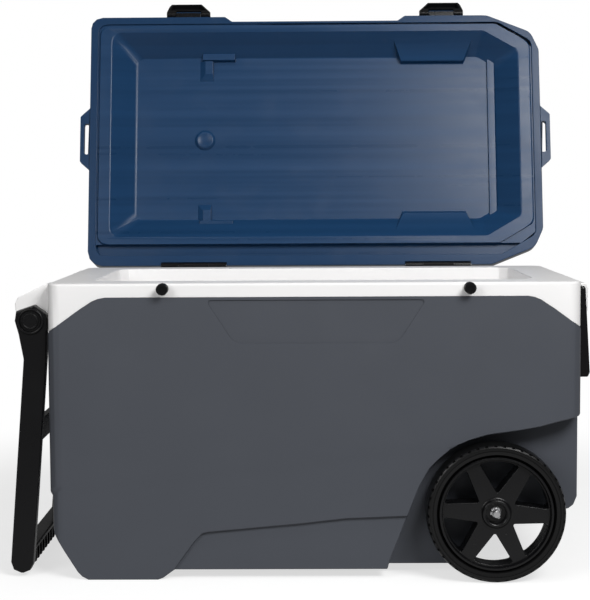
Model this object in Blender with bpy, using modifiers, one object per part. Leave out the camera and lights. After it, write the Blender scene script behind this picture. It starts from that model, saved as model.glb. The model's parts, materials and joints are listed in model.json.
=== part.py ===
"""A large insulated cooler on two wheels, shown with its lid open.

Metres, +Z up. The front faces -Y, the tow handle hangs on the -X end and the wheels are at the
+X end. Body sizes are measured from the plane between the two latch studs (x = 0), from the
middle of the depth (y = 0) and from the ground (z = 0). A root empty then moves everything so
that the origin is under the middle of the whole object. Lid sizes are taken from its hinge line:
v runs from the hinge line to the front edge, and w is the height above the lid's under face.
"""

import math

import bmesh
import bpy
from mathutils import Matrix, Vector

# General
GAP = 0.0003
OVERRUN = 0.010
BORE_CLEARANCE = 0.0003
ROUND_STEPS = 16
SMALL_STEPS = 12
CORNER_STEPS = 3
SMOOTH_ANGLE = math.radians(32)

# Body
LEFT_REACH = 0.4555
RIGHT_REACH = 0.4472
BODY_DEPTH = 0.4870
RIM_TOP = 0.5065
BODY_CORNER = 0.025
LEAST_CORNER = 0.004
SHELL_WALL = 0.0040
UNDERSIDE = 0.0161

# Line where the white rim ends and the grey shell begins, lower at both ends
BAND_HEIGHT = 0.0240
LEFT_CORNER_RUN = 0.1010
LEFT_CORNER_DROP = 0.0610
RIGHT_CORNER_RUN = 0.0920
RIGHT_CORNER_DROP = 0.0560
CORNER_LINE_SHARES = ((1, 0), (0.88, 0.035), (0.77, 0.11), (0.54, 0.36), (0.21, 0.755), (0, 1))

# Belt line: below it the shell stands back. Shares of the way from the left end to the wheel's
# centre, and of the rim's height. Its end lies in tyre radii from the wheel's centre
BELT_STEP = 0.0042
BELT_BAND = 0.0120
BELT_SHARES = (
    (0, 0.294), (0.010, 0.312), (0.024, 0.328), (0.048, 0.335), (0.249, 0.361),
    (0.326, 0.385), (0.562, 0.415), (0.716, 0.448), (0.890, 0.470),
)
BELT_END_SHARES = ((-0.45, 0.454), (-0.30, 0.190))

# Foot at the tow handle's end, and its two pads
FOOT_SETBACK = 0.0655
FOOT_CHAMFER_HEIGHT = 0.0780
FOOT_LENGTH = 0.1190
FOOT_RAMP = 0.0265
FOOT_PAD_DEPTH = 0.1250
FOOT_CHAMFER_SHARES = ((-0.081, 1.25), (0.724, 0.172), (0.837, 0.072), (1, 0))
FOOT_RAMP_SHARES = ((0, 0), (0.34, 0.216), (1, 1))

# Skirt: the low panel that stands back between the foot and the wheel arch
SKIRT_HEIGHT = 0.0796
SKIRT_STEP = 0.0060
SKIRT_SHARES = ((0, 0), (0.096, 0.61), (0.134, 0.795), (0.167, 0.826), (0.586, 1), (0.798, 1.11), (1.2, 1.18))

# Recessed panel on the front
PANEL_HALF_TOP = 0.1853
PANEL_HALF_BOTTOM = 0.1375
PANEL_HEIGHT = 0.0736
PANEL_BELOW_LINE = 0.0047
PANEL_RECESS = 0.0020
PANEL_TOP_CORNER = 0.0045
PANEL_LOW_CORNER = 0.0230

# Wheels and axle
TYRE_RADIUS = 0.1170
TYRE_WIDTH = 0.0580
TYRE_BORE = 0.0967
TYRE_STEPS = 32
TYRE_PROFILE_SHARES = ((0, 0.90), (0.16, 1), (0.50, 1), (0.55, 0.93), (0.82, 0.90), (1, 0.62))
WHEEL_SETBACK = 0.1457
WHEEL_PROUD = 0.0250
WELL_DEPTH = 0.0500
AXLE_RADIUS = 0.00635
AXLE_ABOVE_UNDERSIDE = 0.0070
AXLE_ROOM = 0.0008
AXLE_TIP_CHAMFER = 0.0010
RIM_THICKNESS = 0.0046
RIM_WIDTH = 0.0530
DISC_FRONT = 0.0180
DISC_BACK = 0.0200
HUB_RADIUS = 0.0230
HUB_FRONT = 0.0240
HUB_BACK = 0.0320
HUB_RECESS_RADIUS = 0.0170
HUB_RECESS_DEPTH = 0.0120
HUB_LIP = 0.0020
SPOKES = 6
SPOKE_TURN = math.radians(-3.4)
SPOKE_HALF_AT_HUB = 0.0189
SPOKE_TAPER_SHARE = 0.0806
SPOKE_WALL = 0.0035
SPOKE_FACE = 0.0040
HOLE_REACH = 0.0890
HOLE_TIP_RADIUS = 0.0030
HOLE_CORNER_RADIUS = 0.0030
HOLE_ARC_SHARES = (0.25, 0.5, 0.75)
POCKET_INNER = 0.0360
ARCH_SHARES = (
    (-1.56, -0.90), (-1.522, -0.735), (-1.380, -0.385), (-1.235, 0), (-1.090, 0.368),
    (-0.944, 0.624), (-0.799, 0.786), (-0.654, 0.906), (-0.513, 0.991), (-0.372, 1.051),
    (-0.081, 1.120), (0.346, 1.179), (0.637, 1.231), (0.919, 1.308), (1.179, 1.368), (1.60, 1.46),
)
DEEP_WALL_FOOT_SHARE = -0.27
DEEP_WALL_HEAD_SHARE = -0.22
END_ROUND = 0.0240
END_ROUND_SHARES = ((-1, 0), (-0.62, 0.06), (-0.25, 0.33), (0.02, 1), (0.1, 1.35))
SADDLE_OFFSET = 0.1500
SADDLE_THICKNESS = 0.0160
SADDLE_RADIUS = 0.0155
SADDLE_STEPS = 6
SPACER_WALL = 0.0025
PUSH_NUT_RADIUS = 0.0110
PUSH_NUT_THICKNESS = 0.0035

# Rim and tub
RIM_SETBACK = 0.0010
RIM_FLANGE = 0.0060
RIM_ROUND = 0.0050
RIM_ROUND_SHARES = ((0, 1), (0.3, 0.3), (1, 0))
LINER_WALL = 0.0030
OPENING_END_WALL = 0.0715
OPENING_SIDE_WALL = 0.0625
OPENING_CORNER = 0.0400
TUB_DRAFT = 0.0075
TUB_LEDGE = 0.3000
TUB_INNER_STEP = 0.0020
TUB_FLOOR = 0.1000
TUB_FLOOR_ROUND = 0.0080
TUB_FLOOR_ROUND_SHARES = ((1, 0), (0.35, 0.3), (0, 1))
DEEP_LENGTH = 0.4650
BAY_FLOOR = 0.1720
BAY_SIDE = 0.0140
BAY_LAP = 0.0400
BAY_WALL_SHARES = (-1.29, -0.83)

# Latch studs
STUD_SPREAD = 0.2570
STUD_DROP = 0.0095
STUD_RADIUS = 0.0100
STUD_LENGTH = 0.0190
STUD_HEAD = 0.0050
STUD_SHANK_RADIUS = 0.0070
STUD_COLLAR = 0.0030
STUD_SPIGOT_RADIUS = 0.0040
STUD_SOCKET_RADIUS = 0.0045
STUD_SOCKET_DEPTH = 0.0020

# Lid
LID_LEAN = math.radians(12.5)
LID_LIFT = 0.0020
HINGE_BEHIND = 0.0115
LID_LENGTH = 0.5140
LID_LEFT = 0.4560
LID_RIGHT = 0.4540
LID_HEIGHT = 0.0520
LID_SKIN = 0.0032
LID_LEFT_REAR_CORNER = 0.0300
LID_LEFT_FRONT_CORNER = 0.0220
LID_CUT_RUN = 0.1040
LID_CUT_DEPTH = 0.0720
LID_CUT_MID_RUN_SHARE = 0.16
LID_CUT_MID_DEPTH_SHARE = 0.49
LID_CUT_ROUND = 0.0250
LID_NOTCH_DEPTH = 0.0100
LID_NOTCH_HALF = 0.1690
LID_NOTCH_RAMP = 0.0140
LID_NOTCH_ROUND = 0.0060
LID_TOP_ROUND = 0.0160
LID_TOP_STEPS = 3
LID_TOP_RECESS = 0.0020
LID_TOP_BORDER = 0.0450
FLANGE_SIDE = 0.0150
FLANGE_REAR = 0.0210
FLANGE_FRONT = 0.0145
GROOVE_SIDE = 0.0040
GROOVE_REAR = 0.0230
GROOVE_DEPTH = 0.0120
RING_SIDE = 0.0240
RING_ENDS = 0.0140
RING_PROUD = 0.0017
INNER_CUT_RUN = 0.0680
INNER_CUT_DEPTH = 0.0400
INNER_CORNER = 0.0180
PAN_DEPTH = 0.0400
PAN_SLOPE_END = 0.0450
PAN_SLOPE_SIDE = 0.0430
LIP_LAP = 0.0080
LIP_LAP_FRONT = 0.0010
LIP_CUT_SHARE = 2.5
PAN_BUMP_HEIGHT = 0.0110
PAN_BUMP_CENTRE = 0.2400
PAN_BUMP_HALF = 0.0800
PAN_BUMP_TAPER_SHARE = 0.38
PAN_BUMP_BACK_SHARE = 1.3
PAN_BUMP_DEPTH = 0.0300
EAR_REACH = 0.0190
EAR_REAR = 0.1970
EAR_FRONT = 0.3240
EAR_TAPER = 0.0170
EAR_THICKNESS = 0.0120
EAR_ROUND = 0.0050
EAR_SLOT_WIDTH = 0.0100
EAR_SLOT_MARGIN = 0.0320
EAR_SLOT_EDGE = 0.0085
EAR_SLOT_ROUND = 0.0040

# Latches
LATCH_ANGLE = math.radians(136)
LATCH_CENTRE = 0.2580
LATCH_HALF = 0.0445
LATCH_TIP_OUTER = 0.0080
LATCH_TIP_INNER = 0.0205
LATCH_REACH = 0.0380
LATCH_SHOULDER = 0.0030
LATCH_SHOULDER_SHARE = 0.62
LATCH_BARREL = 0.0065
LATCH_INNER = 0.0070
LATCH_WALL = 0.0040
LATCH_SKIN = 0.0040
LATCH_LIP = 0.0030
LATCH_POCKET_TOP = 0.0105
LATCH_BEHIND_WALL = 0.0075
LATCH_LEVEL = 0.0120
LATCH_LUG_HALF = 0.0250
LATCH_LUG_RADIUS = 0.0062
LATCH_LUG_DEPTH = 0.0085
LATCH_PIN_RADIUS = 0.0020
LATCH_PIN_INSET = 0.0010

# Hinges
HINGE_PLACES_SHARES = (-0.535, 0.535)
HINGE_HALF = 0.0650
HINGE_MIDDLE_HALF = 0.0300
HINGE_SIDE_GAP = 0.0005
HINGE_BARREL = 0.0060
HINGE_PIN_RADIUS = 0.0022
HINGE_PLATE = 0.0030
HINGE_PLATE_HEIGHT = 0.0200
HINGE_WEB = 0.0080
HINGE_NOTCH = 0.0072
HINGE_LEAF_HEIGHT = 0.0340
HINGE_LEAF_START = 0.0085

# Tow handle
TOW_PIVOT_OUT = 0.0291
TOW_PIVOT_DROP = 0.0651
TOW_FRONT_SETBACK = 0.0250
TOW_ARM_THICKNESS = 0.0240
TOW_ARM_WIDTH = 0.0385
TOW_LEAN = 0.0800
TOW_LEG_OFFSET = 0.0110
TOW_LENGTH = 0.4345
TOW_ARM_BEVEL = 0.0030
TOW_BOSS_RADIUS = 0.0170
TOW_BOSS_PROUD = 0.0020
TOW_HEAD_SHARES = ((-1.61, 0.02), (-1.45, 1.00), (0.32, 1.60), (1.55, 0.70), (1.55, -1.40))
TOW_HEAD_ROUND_SHARE = 0.167
TOW_CHEEK_SHARES = (-1.25, -1.30)
TOW_NECK_SHARE = 0.15
TOW_TOE_ROUND_SHARE = 0.9
TOW_BOLT_RADIUS = 0.0060
TOW_BOLT_HEAD_RADIUS = 0.0140
TOW_BOLT_HEAD = 0.0030
TOW_BOLT_RING = 0.0020
TOW_BOLT_GRIP = 0.0300
TOW_BAR_DROP = 0.1995
TOW_BAR_HEIGHT = 0.0380
TOW_BAR_THICKNESS = 0.0160
TOW_GRIP_UP = 0.0200
TOW_GRIP_HEIGHT = 0.0300
TOW_GRIP_THICKNESS = 0.0300
TOW_TENON_INSET = 0.0040
TOW_TENON_DEPTH = 0.0080
TOW_BAR_BEVEL = 0.0040
TOW_RIBS = 14
TOW_RIB_THICKNESS = 0.0040
TOW_RIB_END = 0.0120
TOW_RIB_WALL = 0.0050
TOW_RIB_DEPTH = 0.0180

# Lugs of the rim that carry the handles
TOW_LUG_WIDTH = 0.0340
TOW_LUG_SHARES = ((0, 1), (0.11, 1), (0.92, 0.70), (1, 0.56), (0.95, 0.17), (0.77, 0), (0, 0))
TOW_LUG_REACH = 0.0620
TOW_LUG_FOOT = 0.0030
SIDE_LUG_REACH = 0.0218
SIDE_LUG_HALF = 0.1600
SIDE_LUG_HEIGHT = 0.0660
SIDE_LUG_DROP = 0.0085
SIDE_LUG_WALL = 0.0035
SIDE_LUG_END = 0.0080
SIDE_LUG_SHARES = ((0, 1), (0.82, 1), (1, 0.89), (1, 0.30), (0.45, 0), (0, 0))

# Side handle
SIDE_PIVOT_OUT = 0.0091
SIDE_PIVOT_DROP = 0.0185
SIDE_ARM_THICKNESS = 0.0200
SIDE_HANDLE_LENGTH = 0.1500
SIDE_HEAD_RADIUS = 0.0060
SIDE_HEAD_SHARES = ((-1, 0.9), (0.8, 0.7))
SIDE_WIDTH = 0.0170
SIDE_BACK = 0.0070
SIDE_GRIP_HEIGHT = 0.0300
SIDE_GRIP_ROUND = 0.0070
SIDE_TOE_SHARE = 0.95
SIDE_PIN_RADIUS = 0.0025
SIDE_PIN_HEAD_RADIUS = 0.0050
SIDE_PIN_HEAD = 0.0020

# Drain
DRAIN_HEIGHT = 0.1220
DRAIN_BORE = 0.0065
DRAIN_TUBE = 0.0095
DRAIN_FLANGE_RADIUS = 0.0135
DRAIN_FLANGE = 0.0030
DRAIN_GASKET = 0.0020
DRAIN_GASKET_RADIUS = 0.0125
DRAIN_NUT = 0.0050
DRAIN_NUT_RADIUS = 0.0115
DRAIN_SPOUT = 0.0120
DRAIN_SPOUT_RADIUS = 0.0090
DRAIN_CAP_RADIUS = 0.0125
DRAIN_CAP_WALL = 0.0020
DRAIN_CAP_RIBS = 8
DRAIN_CAP_RIB = 0.0012

# Sizes worked out from those above
HALF_DEPTH = BODY_DEPTH / 2
LINE_HEIGHT = RIM_TOP - BAND_HEIGHT
WHEEL_X = RIGHT_REACH - WHEEL_SETBACK
WHEEL_Y = HALF_DEPTH + WHEEL_PROUD - TYRE_WIDTH / 2
AXLE_HALF = HALF_DEPTH + WHEEL_PROUD - AXLE_TIP_CHAMFER
AXLE_GROOVE = AXLE_RADIUS + BORE_CLEARANCE + SPACER_WALL + AXLE_ROOM
RAISED_UNDERSIDE = TYRE_RADIUS - AXLE_ABOVE_UNDERSIDE
FOOT_LEFT = FOOT_SETBACK - LEFT_REACH
FOOT_RIGHT = FOOT_LEFT + FOOT_LENGTH
OPENING_LEFT = OPENING_END_WALL - LEFT_REACH
OPENING_RIGHT = RIGHT_REACH - OPENING_END_WALL
OPENING_HALF = HALF_DEPTH - OPENING_SIDE_WALL
HINGE_Y = HALF_DEPTH + HINGE_BEHIND
HINGE_Z = RIM_TOP + LID_LIFT
LATCH_V = LID_LENGTH + LATCH_BEHIND_WALL
STUD_Z = RIM_TOP - STUD_DROP
TOW_X = -(LEFT_REACH + TOW_PIVOT_OUT)
TOW_Z = RIM_TOP - TOW_PIVOT_DROP
TOW_ARM_OUTER = HALF_DEPTH - TOW_FRONT_SETBACK
TOW_ARM_INNER = TOW_ARM_OUTER - TOW_ARM_THICKNESS
SIDE_X = RIGHT_REACH + SIDE_PIVOT_OUT
SIDE_Z = RIM_TOP - SIDE_PIVOT_DROP

# The whole object's reach with the lid open, from which the origin follows
TOW_TOE = TOW_LENGTH * TOW_LEAN
REACH_LEFT = TOW_X + TOW_LEG_OFFSET - TOW_TOE - TOW_ARM_WIDTH / 2
REACH_RIGHT = LID_RIGHT + EAR_REACH
REACH_FRONT = -(HALF_DEPTH + WHEEL_PROUD)
LID_REACH = (LID_LENGTH - LID_TOP_ROUND) * math.sin(LID_LEAN)
LID_REACH += (LID_HEIGHT - LID_TOP_ROUND) * math.cos(LID_LEAN)
REACH_REAR = HINGE_Y + LID_REACH + LID_TOP_ROUND

FINISHES = {
    "shell_grey": ((0.073, 0.079, 0.093), 0.42, 0.0),
    "rim_white": ((0.86, 0.85, 0.84), 0.38, 0.0),
    "lid_navy": ((0.013, 0.037, 0.092), 0.34, 0.0),
    "handle_black": ((0.008, 0.008, 0.009), 0.38, 0.0),
    "tyre_black": ((0.010, 0.010, 0.010), 0.60, 0.0),
    "axle_steel": ((0.56, 0.56, 0.57), 0.25, 1.0),
    "pin_steel": ((0.45, 0.45, 0.46), 0.35, 1.0),
    "foam_yellow": ((0.75, 0.66, 0.40), 0.90, 0.0),
    "drain_white": ((0.78, 0.78, 0.77), 0.45, 0.0),
    "gasket_rubber": ((0.02, 0.02, 0.02), 0.80, 0.0),
}


# Scene and helpers


def clear_scene():
    for old in list(bpy.data.objects):
        bpy.data.objects.remove(old, do_unlink=True)


def new_collection(name):
    collection = bpy.data.collections.new(name)
    bpy.context.scene.collection.children.link(collection)
    return collection


def new_materials():
    made = {}
    for name, (colour, roughness, metallic) in FINISHES.items():
        finish = bpy.data.materials.new(name)
        finish.use_nodes = True
        shader = finish.node_tree.nodes["Principled BSDF"]
        shader.inputs["Base Color"].default_value = (*colour, 1)
        shader.inputs["Roughness"].default_value = roughness
        shader.inputs["Metallic"].default_value = metallic
        finish.diffuse_color = (*colour, 1)
        made[name] = finish
    return made


def empty(name, place, parent=None, turn=(0, 0, 0)):
    frame = bpy.data.objects.new(name, None)
    frame.location = place
    frame.rotation_euler = turn
    frame.parent = parent
    PARTS.objects.link(frame)
    return frame


def piece(name, mesh, frame, finish, turn=(0, 0, 0), place=(0, 0, 0)):
    """One sub-part: a mesh in the coordinates of the empty that carries it."""
    made = bpy.data.objects.new(name, mesh)
    made.parent = frame
    made.rotation_euler = turn
    made.location = place
    if finish:
        mesh.materials.clear()
        mesh.materials.append(MATERIALS[finish])
    PARTS.objects.link(made)
    return made


def helper(target, shape, place=(0, 0, 0)):
    """Makes a mesh or an object into a hidden helper in the target's frame."""
    if isinstance(shape, bpy.types.Object):
        PARTS.objects.unlink(shape)
        CUTTERS.objects.link(shape)
        made = shape
    else:
        made = bpy.data.objects.new(target.name + "_cutter", shape)
        made.parent = target.parent
        made.location = place
        CUTTERS.objects.link(made)
    made.hide_render = True
    made.display_type = "WIRE"
    return made


def boolean(target, shape, operation, place=(0, 0, 0)):
    modifier = target.modifiers.new(operation.lower(), "BOOLEAN")
    modifier.operation = operation
    modifier.solver = "EXACT"
    modifier.object = helper(target, shape, place)


def cut(target, shape, place=(0, 0, 0)):
    boolean(target, shape, "DIFFERENCE", place)


def join(target, shape, place=(0, 0, 0)):
    boolean(target, shape, "UNION", place)


def bevel(target, width, segments=2, angle=math.radians(40)):
    modifier = target.modifiers.new("bevel", "BEVEL")
    modifier.width = width
    modifier.segments = segments
    modifier.limit_method = "ANGLE"
    modifier.angle_limit = angle


def finished(shape):
    bmesh.ops.recalc_face_normals(shape, faces=shape.faces)
    mesh = bpy.data.meshes.new("shape")
    shape.to_mesh(mesh)
    shape.free()
    mesh.shade_smooth()
    mesh.set_sharp_from_angle(angle=SMOOTH_ANGLE)
    return mesh


def prism(outline, axis, low, high):
    """A flat outline extruded from low to high along one axis."""
    places = {"X": lambda a, b: (low, a, b), "Y": lambda a, b: (a, low, b), "Z": lambda a, b: (a, b, low)}
    steps = {"X": (high - low, 0, 0), "Y": (0, high - low, 0), "Z": (0, 0, high - low)}
    shape = bmesh.new()
    face = shape.faces.new([shape.verts.new(places[axis](a, b)) for a, b in outline])
    moved = bmesh.ops.extrude_face_region(shape, geom=[face])["geom"]
    verts = [v for v in moved if isinstance(v, bmesh.types.BMVert)]
    bmesh.ops.translate(shape, vec=steps[axis], verts=verts)
    return finished(shape)


def box(low, high):
    shape = bmesh.new()
    size = Vector(high) - Vector(low)
    middle = (Vector(high) + Vector(low)) / 2
    bmesh.ops.create_cube(shape, size=1, matrix=Matrix.Translation(middle) @ Matrix.Diagonal((*size, 1)))
    return finished(shape)


def cylinder(radius, axis, low, high, centre=(0, 0), steps=ROUND_STEPS):
    """A round bar along one axis, its centre given on the two other axes."""
    turns = {"X": Matrix.Rotation(math.pi / 2, 4, "Y"), "Y": Matrix.Rotation(math.pi / 2, 4, "X"), "Z": Matrix()}
    middle = (low + high) / 2
    places = {"X": (middle, *centre), "Y": (centre[0], middle, centre[1]), "Z": (*centre, middle)}
    shape = bmesh.new()
    bmesh.ops.create_cone(
        shape, cap_ends=True, segments=steps, radius1=radius, radius2=radius, depth=high - low,
        matrix=Matrix.Translation(places[axis]) @ turns[axis],
    )
    return finished(shape)


def loft(rings):
    """A closed body through rings of as many points each."""
    shape = bmesh.new()
    rows = [[shape.verts.new(point) for point in ring] for ring in rings]
    for lower, upper in zip(rows, rows[1:]):
        for i in range(len(lower)):
            j = (i + 1) % len(lower)
            shape.faces.new((lower[i], lower[j], upper[j], upper[i]))
    shape.faces.new(rows[0])
    shape.faces.new(rows[-1])
    return finished(shape)


def turned(name, profile, axis, frame, finish, closed=False, steps=ROUND_STEPS, place=(0, 0, 0)):
    """A profile of (radius, distance along the axis), outer side last to first, round an axis."""
    shape = bmesh.new()
    verts = [shape.verts.new((radius, 0, along)) for radius, along in profile]
    for first, second in zip(verts, verts[1:]):
        shape.edges.new((first, second))
    if closed:
        shape.edges.new((verts[-1], verts[0]))
    mesh = bpy.data.meshes.new(name)
    shape.to_mesh(mesh)
    shape.free()
    turns = {"X": (0, math.pi / 2, 0), "Y": (-math.pi / 2, 0, 0), "Z": (0, 0, 0)}
    made = piece(name, mesh, frame, finish, turns[axis], place)
    screw = made.modifiers.new("screw", "SCREW")
    screw.steps = steps
    screw.render_steps = steps
    screw.use_merge_vertices = True
    screw.merge_threshold = 0.00001
    screw.use_smooth_shade = True
    return made


def arc_corner(before, corner, after, radius, steps):
    """The points of a fillet at a corner of an outline."""
    corner = Vector(corner)
    inward = (Vector(before) - corner).normalized()
    outward = (Vector(after) - corner).normalized()
    half = inward.angle(outward) / 2
    reach = radius / math.tan(half)
    start = corner + inward * reach
    end = corner + outward * reach
    centre = corner + (inward + outward).normalized() * (radius / math.sin(half))
    first = start - centre
    last = end - centre
    sweep = first.angle_signed(last)
    points = []
    for i in range(steps + 1):
        turn = Matrix.Rotation(-sweep * i / steps, 2)
        points.append(tuple(centre + turn @ first))
    return points


def rounded(corners, steps=CORNER_STEPS):
    """An outline from (x, y, radius) corners."""
    outline = []
    for i, (x, y, radius) in enumerate(corners):
        if radius:
            before = corners[i - 1][:2]
            after = corners[(i + 1) % len(corners)][:2]
            outline += arc_corner(before, (x, y), after, radius, steps)
        else:
            outline.append((x, y))
    return outline


def rectangle(left, right, front, rear, radius, steps=CORNER_STEPS):
    corners = ((left, front, radius), (right, front, radius), (right, rear, radius), (left, rear, radius))
    return rounded(corners, steps)


def offset_outline(outline, distance):
    """Moves each side of an outline to its right, which is outwards on an anticlockwise one."""
    moved = []
    count = len(outline)
    for i in range(count):
        before, here, after = (Vector(outline[(i + k) % count]) for k in (-1, 0, 1))
        first = (here - before).normalized()
        second = (after - here).normalized()
        normal = Vector((first.y + second.y, -first.x - second.x)).normalized()
        stretch = normal.dot(Vector((first.y, -first.x)))
        moved.append(tuple(here + normal * (distance / stretch)))
    return moved


def level(outline, height):
    return [(x, y, height) for x, y in outline]


def between(table, place):
    """Reads a height from a table of (place, height)."""
    for (x0, z0), (x1, z1) in zip(table, table[1:]):
        if place <= x1:
            return z0 + (z1 - z0) * (place - x0) / (x1 - x0)
    return table[-1][1]


# Body outlines


def belt_table():
    run = LEFT_REACH + WHEEL_X
    line = [(x * run - LEFT_REACH, z * RIM_TOP) for x, z in BELT_SHARES]
    return line + [(WHEEL_X + x * TYRE_RADIUS, z * RIM_TOP) for x, z in BELT_END_SHARES]


def plan(inset):
    """The body's outline from above, with a point wherever the belt line bends."""
    left = inset - LEFT_REACH
    right = RIGHT_REACH - inset
    half = HALF_DEPTH - inset
    radius = max(BODY_CORNER - inset, LEAST_CORNER)
    corners = ((left, -half), (right, -half), (right, half), (left, half))
    arcs = [
        arc_corner(corners[i - 1], corners[i], corners[(i + 1) % 4], radius, CORNER_STEPS) for i in range(4)
    ]
    stations = [x for x, _ in belt_table() if x > BODY_CORNER - LEFT_REACH]
    front = [(x, -half) for x in stations]
    rear = [(x, half) for x in reversed(stations)]
    return arcs[0] + front + arcs[1] + arcs[2] + rear + arcs[3]


def corner_line(side):
    """One end of the line between rim and shell, from the end of the body inwards."""
    reach, run, drop = {
        "left": (-LEFT_REACH, LEFT_CORNER_RUN, LEFT_CORNER_DROP),
        "right": (RIGHT_REACH, -RIGHT_CORNER_RUN, RIGHT_CORNER_DROP),
    }[side]
    return [(reach + x * run, LINE_HEIGHT - z * drop) for x, z in reversed(CORNER_LINE_SHARES)]


def parting_outline(shift, top):
    """The region above the line between rim and shell, or below it, seen from the front."""
    left = corner_line("left")
    right = corner_line("right")
    line = [(-LEFT_REACH - OVERRUN, left[0][1])] + left
    line += list(reversed(right)) + [(RIGHT_REACH + OVERRUN, right[0][1])]
    line = [(x, z + shift) for x, z in line]
    return line + [(RIGHT_REACH + OVERRUN, top), (-LEFT_REACH - OVERRUN, top)]


def under_outline():
    """The space under the body, seen from the front."""
    chamfer = [(x * FOOT_SETBACK - LEFT_REACH, z * FOOT_CHAMFER_HEIGHT) for x, z in FOOT_CHAMFER_SHARES]
    ramp = [(FOOT_RIGHT + x * FOOT_RAMP, z * UNDERSIDE) for x, z in FOOT_RAMP_SHARES]
    wall = [
        (WHEEL_X + DEEP_WALL_FOOT_SHARE * TYRE_RADIUS, UNDERSIDE),
        (WHEEL_X + DEEP_WALL_HEAD_SHARE * TYRE_RADIUS, RAISED_UNDERSIDE),
    ]
    groove_top = TYRE_RADIUS + AXLE_GROOVE
    groove = [
        (WHEEL_X - AXLE_GROOVE, RAISED_UNDERSIDE), (WHEEL_X - AXLE_GROOVE, groove_top),
        (WHEEL_X + AXLE_GROOVE, groove_top), (WHEEL_X + AXLE_GROOVE, RAISED_UNDERSIDE),
    ]
    end = [(RIGHT_REACH + x * END_ROUND, RAISED_UNDERSIDE + z * END_ROUND) for x, z in END_ROUND_SHARES]
    low = -OVERRUN * 2
    sides = [(RIGHT_REACH + OVERRUN * 2, end[-1][1]), (RIGHT_REACH + OVERRUN * 2, low)]
    sides += [(-LEFT_REACH - OVERRUN * 2, low), (-LEFT_REACH - OVERRUN * 2, chamfer[0][1])]
    return chamfer + ramp + wall + groove + end + sides


def arch_outline():
    arch = [(WHEEL_X + x * TYRE_RADIUS, TYRE_RADIUS + z * TYRE_RADIUS) for x, z in ARCH_SHARES]
    low = -OVERRUN * 2
    return arch + [(arch[-1][0], low), (arch[0][0], low)]


def skirt_outline():
    start = FOOT_RIGHT + FOOT_RAMP
    run = WHEEL_X + ARCH_SHARES[1][0] * TYRE_RADIUS - start
    line = [(start + x * run, UNDERSIDE + z * SKIRT_HEIGHT) for x, z in SKIRT_SHARES]
    return line + [(line[-1][0], -OVERRUN), (start, -OVERRUN)]


def foot_gap_outline():
    """The space between the two foot pads, seen from the end."""
    half = HALF_DEPTH - FOOT_PAD_DEPTH
    return [(-half - UNDERSIDE, -OVERRUN), (-half, UNDERSIDE), (half, UNDERSIDE), (half + UNDERSIDE, -OVERRUN)]


def body_form(name, inset, frame):
    """The body's outer form, every face moved inwards by inset."""
    belt = belt_table()
    upper = plan(inset)
    lower = plan(inset + BELT_STEP)
    top = RIM_TOP + OVERRUN
    rings = [
        level(lower, -OVERRUN),
        [(x, y, between(belt, x) - BELT_BAND) for x, y in lower],
        [(x, y, between(belt, x)) for x, y in upper],
        level(upper, top),
    ]
    form = piece(name, loft(rings), frame, None)
    across = HALF_DEPTH + OVERRUN
    cut(form, prism(offset_outline(under_outline(), -inset), "Y", -across, across))
    gap = offset_outline(foot_gap_outline(), -inset)
    cut(form, prism(gap, "X", -LEFT_REACH - OVERRUN, FOOT_RIGHT + FOOT_RAMP + OVERRUN))
    for side in (-1, 1):
        faces = {
            WELL_DEPTH + inset: arch_outline(),
            BELT_STEP + SKIRT_STEP + inset: skirt_outline(),
        }
        for depth, outline in faces.items():
            inner = HALF_DEPTH - depth
            low, high = sorted((side * inner, side * across))
            cut(form, prism(offset_outline(outline, -inset), "Y", low, high))
    return form


# Body


def panel_outline():
    top = LINE_HEIGHT - PANEL_BELOW_LINE
    bottom = top - PANEL_HEIGHT
    right = [(PANEL_HALF_BOTTOM, bottom, PANEL_LOW_CORNER), (PANEL_HALF_TOP, top, PANEL_TOP_CORNER)]
    left = [(-x, z, radius) for x, z, radius in reversed(right)]
    return rounded(left + right)


def saddle_outline():
    """A rib across the axle's groove: it joins the groove's walls and goes round under the axle."""
    side = AXLE_GROOVE + SHELL_WALL / 2
    seat = RAISED_UNDERSIDE + SHELL_WALL / 2
    start = math.pi + math.asin((TYRE_RADIUS - seat) / SADDLE_RADIUS)
    sweep = math.pi * 3 - start * 2
    points = [(WHEEL_X - side, TYRE_RADIUS + side), (WHEEL_X - side, seat)]
    for i in range(SADDLE_STEPS + 1):
        angle = start + sweep * i / SADDLE_STEPS
        points.append((WHEEL_X + SADDLE_RADIUS * math.cos(angle), TYRE_RADIUS + SADDLE_RADIUS * math.sin(angle)))
    return points + [(WHEEL_X + side, seat), (WHEEL_X + side, TYRE_RADIUS + side)]


def make_outer_shell(frame):
    shell = body_form("outer_shell", 0, frame)
    shell.data.materials.append(MATERIALS["shell_grey"])
    across = HALF_DEPTH + OVERRUN
    cut(shell, body_form("shell_hollow", SHELL_WALL, frame))
    cut(shell, prism(parting_outline(0, RIM_TOP + OVERRUN * 2), "Y", -across, across))
    cut(shell, prism(panel_outline(), "Y", -across, PANEL_RECESS - HALF_DEPTH))
    for side in (-1, 1):
        middle = side * SADDLE_OFFSET
        half = SADDLE_THICKNESS / 2
        join(shell, prism(saddle_outline(), "Y", middle - half, middle + half))
    bore = AXLE_RADIUS + BORE_CLEARANCE
    cut(shell, cylinder(bore, "Y", -HALF_DEPTH, HALF_DEPTH, (WHEEL_X, TYRE_RADIUS)))
    drain = DRAIN_TUBE + BORE_CLEARANCE
    cut(shell, cylinder(drain, "X", -LEFT_REACH - OVERRUN, OVERRUN * 2 - LEFT_REACH, (0, DRAIN_HEIGHT)))


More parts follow.
